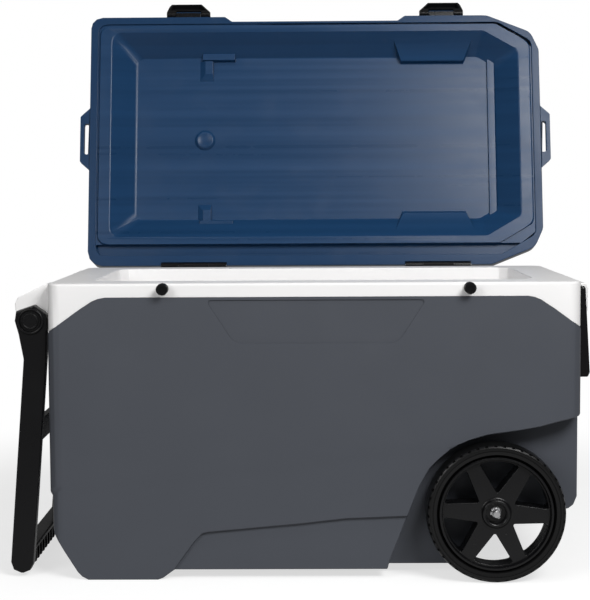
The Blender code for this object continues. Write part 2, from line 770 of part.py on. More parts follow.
def tub_form(name, grow, frame):
    """The space inside the tub, grown by a wall."""
    left = OPENING_LEFT - grow
    right = OPENING_RIGHT + grow
    half = OPENING_HALF + grow
    radius = OPENING_CORNER + grow
    rise = (RIM_TOP + OVERRUN - TUB_LEDGE) / (RIM_TOP - TUB_LEDGE)
    spread = TUB_DRAFT * (rise - 1)
    ledge = TUB_LEDGE - grow
    top = rectangle(left - spread, right + spread, -half - spread, half + spread, radius)
    bottom = rectangle(left + TUB_DRAFT, right - TUB_DRAFT, TUB_DRAFT - half, half - TUB_DRAFT, radius)
    form = piece(name, loft([level(bottom, ledge), level(top, RIM_TOP + OVERRUN)]), frame, None)

    deep_left = left + TUB_DRAFT + TUB_INNER_STEP
    deep_right = OPENING_LEFT + TUB_DRAFT + DEEP_LENGTH + grow
    deep_half = half - TUB_DRAFT - TUB_INNER_STEP
    rings = []
    for inset_share, height_share in TUB_FLOOR_ROUND_SHARES:
        inset = TUB_FLOOR_ROUND * inset_share
        outline = rectangle(deep_left + inset, deep_right - inset, inset - deep_half, deep_half - inset, radius)
        rings.append(level(outline, TUB_FLOOR - grow + TUB_FLOOR_ROUND * height_share))
    rings.append(level(rings_outline(rings[-1]), TUB_LEDGE + OVERRUN))
    join(form, loft(rings))

    bay_half = HALF_DEPTH - WELL_DEPTH - SHELL_WALL - BAY_SIDE - LINER_WALL + grow
    foot, head = (WHEEL_X + share * TYRE_RADIUS for share in BAY_WALL_SHARES)
    bay_right = right - TUB_DRAFT - TUB_INNER_STEP
    bay_left = deep_right - BAY_LAP - grow * 2
    floor = TUB_FLOOR - grow + TUB_INNER_STEP
    bay = [
        (bay_left, floor), (foot + grow, floor), (head + grow, BAY_FLOOR - grow),
        (bay_right, BAY_FLOOR - grow), (bay_right, TUB_LEDGE + OVERRUN), (bay_left, TUB_LEDGE + OVERRUN),
    ]
    join(form, prism(bay, "Y", -bay_half, bay_half))
    return form


def rings_outline(ring):
    return [(x, y) for x, y, _ in ring]


def make_foam_core(frame):
    foam = body_form("foam_core", SHELL_WALL + GAP, frame)
    foam.data.materials.append(MATERIALS["foam_yellow"])
    ceiling = RIM_TOP - RIM_FLANGE - GAP
    low = (-LEFT_REACH - OVERRUN, -HALF_DEPTH - OVERRUN, ceiling)
    cut(foam, box(low, (RIGHT_REACH + OVERRUN, HALF_DEPTH + OVERRUN, RIM_TOP + OVERRUN * 2)))
    cut(foam, tub_form("foam_hollow", LINER_WALL + GAP, frame))
    tunnel = DRAIN_TUBE + GAP
    cut(foam, cylinder(tunnel, "X", -LEFT_REACH - OVERRUN, 0, (0, DRAIN_HEIGHT)))
    behind_rim = SHELL_WALL + OVERRUN - HALF_DEPTH
    for side in (-1, 1):
        place = (side * STUD_SPREAD, STUD_Z)
        cut(foam, cylinder(STUD_SPIGOT_RADIUS, "Y", -HALF_DEPTH - OVERRUN, behind_rim, place))


def tow_lug_outline():
    foot = corner_line("left")[0][1] + TOW_LUG_FOOT
    height = RIM_TOP - TOW_LUG_FOOT - foot
    start = RIM_SETBACK * 2 - LEFT_REACH
    return [(start - x * TOW_LUG_REACH, foot + z * height) for x, z in TOW_LUG_SHARES]


def side_lug_outline():
    top = RIM_TOP - SIDE_LUG_DROP
    start = RIGHT_REACH - RIM_SETBACK * 2
    reach = SIDE_LUG_REACH + RIM_SETBACK * 2
    return [(start + x * reach, top - SIDE_LUG_HEIGHT * (1 - z)) for x, z in SIDE_LUG_SHARES]


def make_liner(frame):
    """The tub, the white rim, its skirt down to the shell and its lugs: one moulding."""
    edge = plan(RIM_SETBACK)
    rings = [level(edge, LINE_HEIGHT - LEFT_CORNER_DROP - OVERRUN)]
    for inset_share, drop_share in RIM_ROUND_SHARES:
        ring = plan(RIM_SETBACK + RIM_ROUND * inset_share)
        rings.append(level(ring, RIM_TOP - RIM_ROUND * drop_share))
    liner = piece("liner", loft(rings), frame, "rim_white")
    across = HALF_DEPTH + OVERRUN
    cut(liner, prism(parting_outline(GAP, 0), "Y", -across, across))
    hollow = plan(SHELL_WALL)
    cut(liner, prism(hollow, "Z", LINE_HEIGHT - LEFT_CORNER_DROP - OVERRUN * 2, RIM_TOP - RIM_FLANGE))
    tub = tub_form("tub_outside", LINER_WALL, frame)
    lid_room = (-LEFT_REACH - OVERRUN, -across, RIM_TOP - RIM_FLANGE / 2)
    cut(tub, box(lid_room, (RIGHT_REACH + OVERRUN, across, RIM_TOP + OVERRUN * 2)))
    join(liner, tub)
    for side in (-1, 1):
        start = TOW_ARM_INNER - GAP
        low, high = sorted((side * start, side * (start - TOW_LUG_WIDTH)))
        join(liner, prism(tow_lug_outline(), "Y", low, high))
    join(liner, prism(side_lug_outline(), "Y", -SIDE_LUG_HALF, SIDE_LUG_HALF))
    cut(liner, tub_form("tub_inside", 0, frame))
    lug_top = RIM_TOP - SIDE_LUG_DROP
    low = (RIGHT_REACH + SIDE_LUG_WALL, SIDE_LUG_END - SIDE_LUG_HALF, lug_top - SIDE_LUG_HEIGHT - OVERRUN)
    high = (RIGHT_REACH + SIDE_LUG_REACH - SIDE_LUG_WALL, SIDE_LUG_HALF - SIDE_LUG_END, lug_top - SIDE_LUG_WALL)
    cut(liner, box(low, high))
    bore = TOW_BOLT_RADIUS + BORE_CLEARANCE
    for side in (-1, 1):
        start = TOW_ARM_INNER + OVERRUN
        low, high = sorted((side * start, side * (start - TOW_LUG_WIDTH - OVERRUN * 2)))
        cut(liner, cylinder(bore, "Y", low, high, (TOW_X, TOW_Z)))
        lug_end = SIDE_LUG_HALF - SIDE_LUG_END - OVERRUN
        low, high = sorted((side * lug_end, side * (SIDE_LUG_HALF + OVERRUN)))
        cut(liner, cylinder(SIDE_PIN_RADIUS + BORE_CLEARANCE, "Y", low, high, (SIDE_X, SIDE_Z), SMALL_STEPS))
        spigot = STUD_SPIGOT_RADIUS + BORE_CLEARANCE
        cut(liner, cylinder(spigot, "Y", -across, SHELL_WALL + GAP - HALF_DEPTH, (side * STUD_SPREAD, STUD_Z)))
    drain = DRAIN_TUBE + BORE_CLEARANCE
    cut(liner, cylinder(drain, "X", -LEFT_REACH, OPENING_LEFT + TUB_DRAFT + OVERRUN, (0, DRAIN_HEIGHT)))


def make_latch_studs(frame):
    """A collar on the rim, a shank and a round head with a socket, turned round Y."""
    face = -HALF_DEPTH + RIM_SETBACK - GAP
    tip = face - STUD_LENGTH
    profile = (
        (0, face + SHELL_WALL - RIM_SETBACK), (STUD_SPIGOT_RADIUS, face + SHELL_WALL - RIM_SETBACK),
        (STUD_SPIGOT_RADIUS, face), (STUD_RADIUS, face), (STUD_RADIUS, face - STUD_COLLAR),
        (STUD_SHANK_RADIUS, face - STUD_COLLAR), (STUD_SHANK_RADIUS, tip + STUD_HEAD),
        (STUD_RADIUS, tip + STUD_HEAD), (STUD_RADIUS, tip + STUD_SOCKET_DEPTH / 2),
        (STUD_RADIUS - STUD_SOCKET_DEPTH / 2, tip), (STUD_SOCKET_RADIUS, tip),
        (STUD_SOCKET_RADIUS, tip + STUD_SOCKET_DEPTH), (0, tip + STUD_SOCKET_DEPTH),
    )
    for side, name in ((-1, "latch_stud_left"), (1, "latch_stud_right")):
        place = (side * STUD_SPREAD, 0, STUD_Z)
        turned(name, profile, "Y", frame, "handle_black", steps=SMALL_STEPS, place=place)


# Drain


def make_drain(frame):
    """Tube through the wall with its flange outside, the nut and gasket inside, and a screw cap."""
    outside = BELT_STEP - LEFT_REACH - GAP
    inside = OPENING_LEFT + TUB_DRAFT + TUB_INNER_STEP
    tip = outside - DRAIN_FLANGE - DRAIN_SPOUT
    end = inside + DRAIN_GASKET + DRAIN_NUT + GAP * 3
    place = (0, 0, DRAIN_HEIGHT)
    body = (
        (DRAIN_BORE, end), (DRAIN_TUBE, end), (DRAIN_TUBE, outside), (DRAIN_FLANGE_RADIUS, outside),
        (DRAIN_FLANGE_RADIUS, outside - DRAIN_FLANGE), (DRAIN_SPOUT_RADIUS, outside - DRAIN_FLANGE),
        (DRAIN_SPOUT_RADIUS, tip), (DRAIN_BORE, tip),
    )
    turned("drain_body", body, "X", frame, "drain_white", closed=True, place=place)
    hole = DRAIN_TUBE + GAP
    gasket_start = inside + GAP
    nut_start = gasket_start + DRAIN_GASKET + GAP
    rings = (
        ("drain_gasket", gasket_start, DRAIN_GASKET, DRAIN_GASKET_RADIUS, "gasket_rubber", ROUND_STEPS),
        ("drain_nut", nut_start, DRAIN_NUT, DRAIN_NUT_RADIUS, "drain_white", 6),
    )
    for name, start, thickness, radius, finish, steps in rings:
        disc = cylinder(radius, "X", start, start + thickness, (0, DRAIN_HEIGHT), steps)
        ring = piece(name, disc, frame, finish)
        cut(ring, cylinder(hole, "X", start - OVERRUN, start + thickness + OVERRUN, (0, DRAIN_HEIGHT)))
    pivot = empty("drain_cap_axis", (tip, 0, DRAIN_HEIGHT), frame)
    room = DRAIN_SPOUT_RADIUS + GAP
    skirt = DRAIN_SPOUT - GAP * 2
    profile = (
        (0, -GAP), (room, -GAP), (room, skirt), (DRAIN_CAP_RADIUS, skirt),
        (DRAIN_CAP_RADIUS, -DRAIN_CAP_WALL), (0, -DRAIN_CAP_WALL),
    )
    cap = turned("drain_cap", profile, "X", pivot, "drain_white")
    for i in range(DRAIN_CAP_RIBS):
        angle = math.tau * i / DRAIN_CAP_RIBS
        centre = (DRAIN_CAP_RADIUS * math.cos(angle), DRAIN_CAP_RADIUS * math.sin(angle))
        join(cap, cylinder(DRAIN_CAP_RIB, "X", GAP - DRAIN_CAP_WALL, skirt - GAP, centre, 6))


# Wheels


def hole_outline(middle):
    """One window between two spokes: a triangle with its tip towards the hub and a curved far side."""
    half_turn = math.pi / SPOKES
    corners = []
    for side in (-1, 1):
        along = Vector((math.cos(middle + side * half_turn), math.sin(middle + side * half_turn)))
        across = Vector((side * along.y, -side * along.x))
        reach = math.sqrt(HOLE_REACH ** 2 - (SPOKE_HALF_AT_HUB - SPOKE_TAPER_SHARE * HOLE_REACH) ** 2)
        corner = along * reach + across * (SPOKE_HALF_AT_HUB - SPOKE_TAPER_SHARE * reach)
        corners.append(corner)
    tip_reach = SPOKE_HALF_AT_HUB / (math.tan(half_turn) + SPOKE_TAPER_SHARE) / math.cos(half_turn)
    tip = Vector((math.cos(middle), math.sin(middle))) * tip_reach
    start, end = (math.atan2(c.y, c.x) for c in corners)
    sweep = (end - start + math.pi) % math.tau - math.pi
    angles = [start + sweep * share for share in HOLE_ARC_SHARES]
    outline = [(*tip, HOLE_TIP_RADIUS), (*corners[0], HOLE_CORNER_RADIUS)]
    outline += [(HOLE_REACH * math.cos(angle), HOLE_REACH * math.sin(angle), 0) for angle in angles]
    return rounded(outline + [(*corners[1], HOLE_CORNER_RADIUS)], 2)


def pocket_outline(angle):
    """The hollow back of one spoke."""
    along = Vector((math.cos(angle), math.sin(angle)))
    across = Vector((-along.y, along.x))
    points = []
    for reach, sides in ((POCKET_INNER, (-1, 1)), (HOLE_REACH - SPOKE_WALL, (1, -1))):
        half = SPOKE_HALF_AT_HUB - SPOKE_TAPER_SHARE * reach - SPOKE_WALL
        points += [tuple(along * reach + across * (half * side)) for side in sides]
    return points


def make_wheel(name, frame):
    """One moulding: rim, six box spokes open at the back, and the hub. The outer side faces -Y."""
    rim_outer = TYRE_BORE - GAP
    rim_inner = rim_outer - RIM_THICKNESS
    bore = AXLE_RADIUS + BORE_CLEARANCE
    half = RIM_WIDTH / 2
    floor = HUB_RECESS_DEPTH - HUB_FRONT
    profile = (
        (bore, HUB_BACK), (HUB_RECESS_RADIUS, HUB_BACK), (HUB_RADIUS, DISC_BACK), (rim_inner, DISC_BACK),
        (rim_inner, half), (rim_outer, half), (rim_outer, -half), (rim_inner, -half),
        (rim_inner - HUB_LIP, -DISC_FRONT), (HUB_RADIUS + HUB_LIP, -DISC_FRONT),
        (HUB_RADIUS, HUB_LIP - HUB_FRONT), (HUB_RADIUS - HUB_LIP, -HUB_FRONT),
        (HUB_RECESS_RADIUS, -HUB_FRONT), (HUB_RECESS_RADIUS, floor), (bore, floor),
    )
    wheel = turned(name, profile, "Y", frame, "handle_black", closed=True, steps=TYRE_STEPS)
    for i in range(SPOKES):
        angle = SPOKE_TURN + math.tau * i / SPOKES
        cut(wheel, prism(hole_outline(angle + math.pi / SPOKES), "Y", -half, half))
        cut(wheel, prism(pocket_outline(angle), "Y", SPOKE_FACE - DISC_FRONT, half))
    return wheel


def make_tyre(name, frame):
    band = TYRE_RADIUS - TYRE_BORE
    half = TYRE_WIDTH / 2
    side = [(TYRE_BORE + r * band, y * half) for r, y in TYRE_PROFILE_SHARES]
    profile = side + [(r, -y) for r, y in reversed(side)]
    return turned(name, profile, "Y", frame, "tyre_black", closed=True, steps=TYRE_STEPS)


def make_running_gear(frame):
    tip = AXLE_RADIUS - AXLE_TIP_CHAMFER
    full = AXLE_HALF - AXLE_TIP_CHAMFER
    axle_profile = (
        (0, AXLE_HALF), (tip, AXLE_HALF), (AXLE_RADIUS, full),
        (AXLE_RADIUS, -full), (tip, -AXLE_HALF), (0, -AXLE_HALF),
    )
    turned("axle", axle_profile, "Y", frame, "axle_steel", place=(WHEEL_X, 0, TYRE_RADIUS))
    bore = AXLE_RADIUS + BORE_CLEARANCE
    for side, end in ((-1, "front"), (1, "rear")):
        turn = (0, 0, 0 if side < 0 else math.pi)
        hub = empty("wheel_centre_" + end, (WHEEL_X, side * WHEEL_Y, TYRE_RADIUS), frame, turn)
        make_wheel("wheel_" + end, hub)
        make_tyre("tyre_" + end, hub)
        gear = empty("axle_parts_" + end, (WHEEL_X, side * WHEEL_Y, TYRE_RADIUS), frame, turn)
        seat = WHEEL_Y - SADDLE_OFFSET - SADDLE_THICKNESS / 2 - GAP
        outside = bore + SPACER_WALL
        spacer = ((bore, seat), (outside, seat), (outside, HUB_BACK + GAP), (bore, HUB_BACK + GAP))
        turned("axle_spacer_" + end, spacer, "Y", gear, "handle_black", closed=True, steps=SMALL_STEPS)
        floor = HUB_RECESS_DEPTH - HUB_FRONT - GAP
        nut = (
            (bore, floor), (PUSH_NUT_RADIUS, floor), (PUSH_NUT_RADIUS, floor - PUSH_NUT_THICKNESS / 3),
            (bore + AXLE_TIP_CHAMFER, floor - PUSH_NUT_THICKNESS), (bore, floor - PUSH_NUT_THICKNESS),
        )
        turned("push_nut_" + end, nut, "Y", gear, "axle_steel", closed=True, steps=SMALL_STEPS)


# Lid


def lid_corners(inset_side, inset_rear, inset_front):
    """The lid's outline as (x, v, radius) corners, its right corners cut off at a slant."""
    left = inset_side - LID_LEFT
    right = LID_RIGHT - inset_side
    rear = inset_rear
    front = LID_LENGTH - inset_front
    mid_x = right - LID_CUT_RUN * LID_CUT_MID_RUN_SHARE
    mid = LID_CUT_DEPTH * LID_CUT_MID_DEPTH_SHARE
    slant = right - LID_CUT_RUN
    less = inset_side
    return [
        (left, rear, LID_LEFT_REAR_CORNER - less), (slant, rear, LID_CUT_ROUND),
        (mid_x, rear + mid, LID_CUT_ROUND), (right, rear + LID_CUT_DEPTH, LID_CUT_ROUND),
        (right, front - LID_CUT_DEPTH, LID_CUT_ROUND), (mid_x, front - mid, LID_CUT_ROUND),
        (slant, front, LID_CUT_ROUND), *notch_corners(front, inset_side),
        (left, front, LID_LEFT_FRONT_CORNER - less),
    ]


def notch_corners(front, inset):
    """The shallow step back in the middle of the lid's front edge."""
    depth = LID_NOTCH_DEPTH
    outer = LID_NOTCH_HALF + LID_NOTCH_RAMP
    inner = LID_NOTCH_HALF
    return [
        (outer, front, LID_NOTCH_ROUND), (inner, front - depth, LID_NOTCH_ROUND),
        (-inner, front - depth, LID_NOTCH_ROUND), (-outer, front, LID_NOTCH_ROUND),
    ]


def in_lid(outline):
    """Turns (x, v) into the lid's own x and y, where y runs back from the hinge line."""
    return [(x, -v) for x, v in outline]


def lid_outline(inset=0):
    return in_lid(rounded(lid_corners(inset, inset, inset), 3))


def pan_outline(side, rear, front, run, depth, radius):
    """An inner outline of the lid: a rectangle with its right corners cut off."""
    left = side - LID_LEFT
    right = LID_RIGHT - side
    front = LID_LENGTH - front
    corners = [
        (left, rear, radius), (right - run, rear, radius), (right, rear + depth, radius),
        (right, front - depth, radius), (right - run, front, radius), (left, front, radius),
    ]
    return in_lid(rounded(corners, 3))


def flange_inside():
    return pan_outline(FLANGE_SIDE, FLANGE_REAR, FLANGE_FRONT, INNER_CUT_RUN, INNER_CUT_DEPTH, INNER_CORNER)


def ring_outline(grow=0):
    side = FLANGE_SIDE + GROOVE_SIDE - grow
    rear = FLANGE_REAR + GROOVE_REAR - grow
    front = FLANGE_FRONT + GROOVE_SIDE - grow
    return pan_outline(side, rear, front, INNER_CUT_RUN, INNER_CUT_DEPTH, INNER_CORNER)


def mouth_outline(grow=0):
    side = FLANGE_SIDE + GROOVE_SIDE + RING_SIDE - grow
    rear = FLANGE_REAR + GROOVE_REAR + RING_ENDS - grow
    front = FLANGE_FRONT + GROOVE_SIDE + RING_ENDS - grow
    return pan_outline(side, rear, front, INNER_CUT_RUN, INNER_CUT_DEPTH, INNER_CORNER)


def floor_outline(grow=0):
    side = FLANGE_SIDE + GROOVE_SIDE + RING_SIDE + PAN_SLOPE_END - grow
    rear = FLANGE_REAR + GROOVE_REAR + RING_ENDS + PAN_SLOPE_SIDE - grow
    front = FLANGE_FRONT + GROOVE_SIDE + RING_ENDS + PAN_SLOPE_SIDE - grow
    return pan_outline(side, rear, front, INNER_CUT_RUN / 2, INNER_CUT_DEPTH / 2, INNER_CORNER)


def lip_outline():
    lap = LIP_LAP
    side, rear, front = FLANGE_SIDE - lap, FLANGE_REAR - lap, FLANGE_FRONT - LIP_LAP_FRONT
    run, depth = INNER_CUT_RUN + lap, INNER_CUT_DEPTH + lap * LIP_CUT_SHARE
    return pan_outline(side, rear, front, run, depth, INNER_CORNER)


def lid_block(inset, low, high):
    """The lid's outer form with its rounded top edge, moved inwards."""
    top_round = LID_TOP_ROUND - inset
    rings = [level(lid_outline(inset), low)]
    for i in range(LID_TOP_STEPS + 1):
        angle = math.pi / 2 * i / LID_TOP_STEPS
        back = inset + top_round * (1 - math.cos(angle))
        rings.append(level(lid_outline(back), high - top_round * (1 - math.sin(angle))))
    return loft(rings)


def ear_outline(side):
    """A slotted ear on one end of the lid."""
    edge = LID_RIGHT if side > 0 else LID_LEFT
    root = edge - LID_SKIN
    tip = edge + EAR_REACH
    corners = [
        (root, EAR_REAR), (edge, EAR_REAR), (tip, EAR_REAR + EAR_TAPER),
        (tip, EAR_FRONT - EAR_TAPER), (edge, EAR_FRONT), (root, EAR_FRONT),
    ]
    radii = (0, 0, EAR_ROUND, EAR_ROUND, 0, 0)
    return in_lid(rounded([(side * x, v, r) for (x, v), r in zip(corners, radii)], 2))


def ear_slot_outline(side):
    edge = LID_RIGHT if side > 0 else LID_LEFT
    outer = edge + EAR_REACH - EAR_SLOT_EDGE
    inner = outer - EAR_SLOT_WIDTH
    rear = EAR_REAR + EAR_SLOT_MARGIN
    front = EAR_FRONT - EAR_SLOT_MARGIN
    corners = ((inner, rear), (outer, rear), (outer, front), (inner, front))
    return in_lid(rounded([(side * x, v, EAR_SLOT_ROUND) for x, v in corners], 2))


def hinge_places():
    reach = (LID_LEFT + LID_RIGHT) / 2
    return [(name, share * reach) for name, share in zip(("left", "right"), HINGE_PLACES_SHARES)]


def make_lid_shell(lid):
    shell = piece("lid_shell", lid_block(0, 0, LID_HEIGHT), lid, "lid_navy")
    hollow = piece("lid_hollow", lid_block(LID_SKIN, LID_SKIN, LID_HEIGHT - LID_SKIN), lid, None)
    for _, place in hinge_places():
        keep = HINGE_NOTCH + LID_SKIN
        low, high = place - HINGE_HALF - LID_SKIN, place + HINGE_HALF + LID_SKIN
        cut(hollow, cylinder(keep, "X", low, high))
    cut(shell, hollow)
    cut(shell, prism(flange_inside(), "Z", -OVERRUN, LID_SKIN + OVERRUN / 2))
    border = LID_TOP_BORDER
    recess = pan_outline(border, border, border, LID_CUT_RUN / 2, LID_CUT_DEPTH / 2, INNER_CORNER)
    cut(shell, prism(recess, "Z", LID_HEIGHT - LID_TOP_RECESS, LID_HEIGHT + OVERRUN))
    for side in (-1, 1):
        join(shell, prism(ear_outline(side), "Z", LID_SKIN / 4, EAR_THICKNESS))
        cut(shell, prism(ear_slot_outline(side), "Z", -OVERRUN, EAR_THICKNESS + OVERRUN))
        centre = side * LATCH_CENTRE
        lug = prism(latch_lug_outline(), "X", centre - LATCH_LUG_HALF, centre + LATCH_LUG_HALF)
        join(shell, lug)
        bore = LATCH_PIN_RADIUS + BORE_CLEARANCE
        half = LATCH_LUG_HALF + OVERRUN
        cut(shell, cylinder(bore, "X", centre - half, centre + half, (-LATCH_V, LATCH_LEVEL), SMALL_STEPS))
    for _, place in hinge_places():
        half = HINGE_HALF + HINGE_SIDE_GAP
        cut(shell, cylinder(HINGE_NOTCH, "X", place - half, place + half))
    return shell


def latch_lug_outline():
    """The lug on the lid's front wall that holds a latch's pin, seen along the pin."""
    wall = -(LID_LENGTH - LID_SKIN / 2)
    tip = -(LATCH_V + LATCH_LUG_RADIUS)
    low = LATCH_LEVEL - LATCH_LUG_RADIUS
    high = LATCH_LEVEL + LATCH_LUG_RADIUS
    corners = [
        (wall, low - LID_SKIN / 2, 0), (wall, high + LID_SKIN, 0),
        (tip, high, LATCH_LUG_RADIUS), (tip, low, LATCH_LUG_RADIUS),
    ]
    return rounded(corners, 4)


def groove_form(name, grow, low, high, lid):
    """The deep part of the groove, between the rear flange and the bearing ring, grown by a wall."""
    side, rear = FLANGE_SIDE - grow, FLANGE_REAR - grow
    outer = pan_outline(side, rear, FLANGE_FRONT, INNER_CUT_RUN, INNER_CUT_DEPTH, INNER_CORNER)
    form = piece(name, prism(outer, "Z", low, high), lid, None)
    cut(form, prism(ring_outline(GAP - grow), "Z", low - OVERRUN, high + OVERRUN))
    reach = FLANGE_REAR + GROOVE_REAR + grow
    cut(form, box((-LID_LEFT, -LID_LENGTH, low - OVERRUN), (LID_RIGHT, -reach, high + OVERRUN)))
    return form


def make_lid_liner(lid):
    """The inner pan as one sheet: a lip under the flange, the bearing ring, the slope and the floor."""
    back = LID_SKIN + GAP
    rings = [
        level(lip_outline(), back), level(ring_outline(), back), level(ring_outline(), -RING_PROUD),
        level(mouth_outline(), -RING_PROUD), level(floor_outline(), PAN_DEPTH),
    ]
    thick = LINER_WALL
    behind = [
        level(floor_outline(thick), PAN_DEPTH + thick), level(mouth_outline(thick), back + thick),
        level(lip_outline(), back + thick),
    ]
    shape = bmesh.new()
    rows = [[shape.verts.new(point) for point in ring] for ring in rings + behind]
    closed_rows = rows + rows[:1]
    for k, (lower, upper) in enumerate(zip(closed_rows, closed_rows[1:])):
        if k == len(rings) - 1:
            continue
        for i in range(len(lower)):
            j = (i + 1) % len(lower)
            shape.faces.new((lower[i], lower[j], upper[j], upper[i]))
    shape.faces.new(rows[len(rings) - 1])
    shape.faces.new(rows[len(rings)])
    liner = piece("lid_liner", finished(shape), lid, "lid_navy")
    join(liner, groove_form("groove_wall", thick, back + thick / 2, GROOVE_DEPTH + thick, lid))
    cut(liner, groove_form("groove_room", 0, -OVERRUN, GROOVE_DEPTH, lid))
    for front in (False, True):
        join(liner, pan_bump(front))


def pan_bump(front):
    """A raised pad in the corner between the pan's slope and its floor, seen along x, then widened."""
    if front:
        edge = LID_LENGTH - (FLANGE_FRONT + GROOVE_SIDE + RING_ENDS + PAN_SLOPE_SIDE)
        way = 1
    else:
        edge = FLANGE_REAR + GROOVE_REAR + RING_ENDS + PAN_SLOPE_SIDE
        way = -1
    fall = (PAN_DEPTH + RING_PROUD) / PAN_SLOPE_SIDE
    far_height = PAN_DEPTH - PAN_BUMP_DEPTH * fall
    sunk = LINER_WALL / 2
    profile = (
        (PAN_BUMP_DEPTH, far_height + sunk / 2), (-PAN_BUMP_HEIGHT, PAN_DEPTH - PAN_BUMP_HEIGHT),
        (-PAN_BUMP_HEIGHT * PAN_BUMP_BACK_SHARE, PAN_DEPTH + sunk), (0, PAN_DEPTH + sunk),
        (PAN_BUMP_DEPTH, far_height + sunk),
    )
    rings = []
    for side in (-1, 1):
        ring = []
        for out, height in profile:
            half = PAN_BUMP_HALF + (out - PAN_BUMP_DEPTH) * PAN_BUMP_TAPER_SHARE
            ring.append((PAN_BUMP_CENTRE + side * half, -(edge + way * out), height))
        rings.append(ring)
    return loft(rings)


def make_lid_foam(lid):
    inset = LID_SKIN + GAP
    low = LID_SKIN + LINER_WALL + GAP * 2
    foam = piece("lid_foam", lid_block(inset, low, LID_HEIGHT - inset), lid, "foam_yellow")
    grow = LINER_WALL + GAP * 2
    start = level(mouth_outline(grow), low - GAP)
    pan = [level(mouth_outline(grow), low - OVERRUN), start, level(floor_outline(grow), PAN_DEPTH + grow)]
    cut(foam, loft(pan))
    room = LINER_WALL + GAP
    cut(foam, groove_form("foam_groove", room, low - OVERRUN, GROOVE_DEPTH + room, lid))
    for _, place in hinge_places():
        keep = HINGE_NOTCH + LID_SKIN + GAP
        half = HINGE_HALF + LID_SKIN + GAP
        cut(foam, cylinder(keep, "X", place - half, place + half))


def make_latches(lid):
    """Each latch in its closed position round its pin, then turned open."""
    for side, name in ((-1, "left"), (1, "right")):
        centre = side * LATCH_CENTRE
        pivot = empty("latch_axis_" + name, (centre, -LATCH_V, LATCH_LEVEL), lid, (-LATCH_ANGLE, 0, 0))
        profile = rounded(
            [
                (LATCH_INNER, LATCH_BARREL, LATCH_BARREL), (LATCH_INNER, -LATCH_REACH, LATCH_LIP / 3),
                (-LATCH_BARREL, -LATCH_REACH, LATCH_LIP), (-LATCH_BARREL, LATCH_BARREL, LATCH_BARREL),
            ],
            3,
        )
        latch = piece("latch_" + name, prism(profile, "X", -LATCH_HALF, LATCH_HALF), pivot, "handle_black")
        top = LATCH_BARREL + OVERRUN
        taper = 1 + top / LATCH_REACH
        inner = LATCH_TIP_INNER * taper
        tip = -LATCH_REACH - GAP
        slant = [
            (-side * (LATCH_HALF - LATCH_TIP_INNER), tip), (side * (LATCH_HALF - LATCH_TIP_OUTER), tip),
            (side * (LATCH_HALF - LATCH_SHOULDER), -LATCH_REACH * LATCH_SHOULDER_SHARE),
            (side * (LATCH_HALF + LATCH_SHOULDER), top), (-side * (LATCH_HALF - LATCH_TIP_INNER + inner), top),
        ]
        boolean(latch, prism(slant, "Y", -OVERRUN * 2, OVERRUN * 2), "INTERSECT")
        pocket_top = -LATCH_POCKET_TOP
        pocket_low = LATCH_LIP - LATCH_REACH
        room = []
        for height in (pocket_low, pocket_top):
            share = -height / LATCH_REACH
            room.append((-side * (LATCH_HALF - LATCH_TIP_INNER * share - LATCH_WALL), height))
            room.append((side * (LATCH_HALF - LATCH_TIP_OUTER * share - LATCH_WALL), height))
        room = [room[0], room[1], room[3], room[2]]
        cut(latch, prism(room, "Y", LATCH_SKIN - LATCH_BARREL, OVERRUN * 2))
        lug_half = LATCH_LUG_HALF + GAP
        low = (-lug_half, -OVERRUN * 2, -LATCH_LUG_DEPTH)
        cut(latch, box(low, (lug_half, OVERRUN * 2, OVERRUN * 2)))
        bore = LATCH_PIN_RADIUS + BORE_CLEARANCE
        cut(latch, cylinder(bore, "X", -LATCH_HALF - OVERRUN, LATCH_HALF + OVERRUN, steps=SMALL_STEPS))
        half = LATCH_HALF - LATCH_PIN_INSET
        pin = cylinder(LATCH_PIN_RADIUS, "X", centre - half, centre + half, (-LATCH_V, LATCH_LEVEL), SMALL_STEPS)
        piece("latch_pin_" + name, pin, lid, "pin_steel")


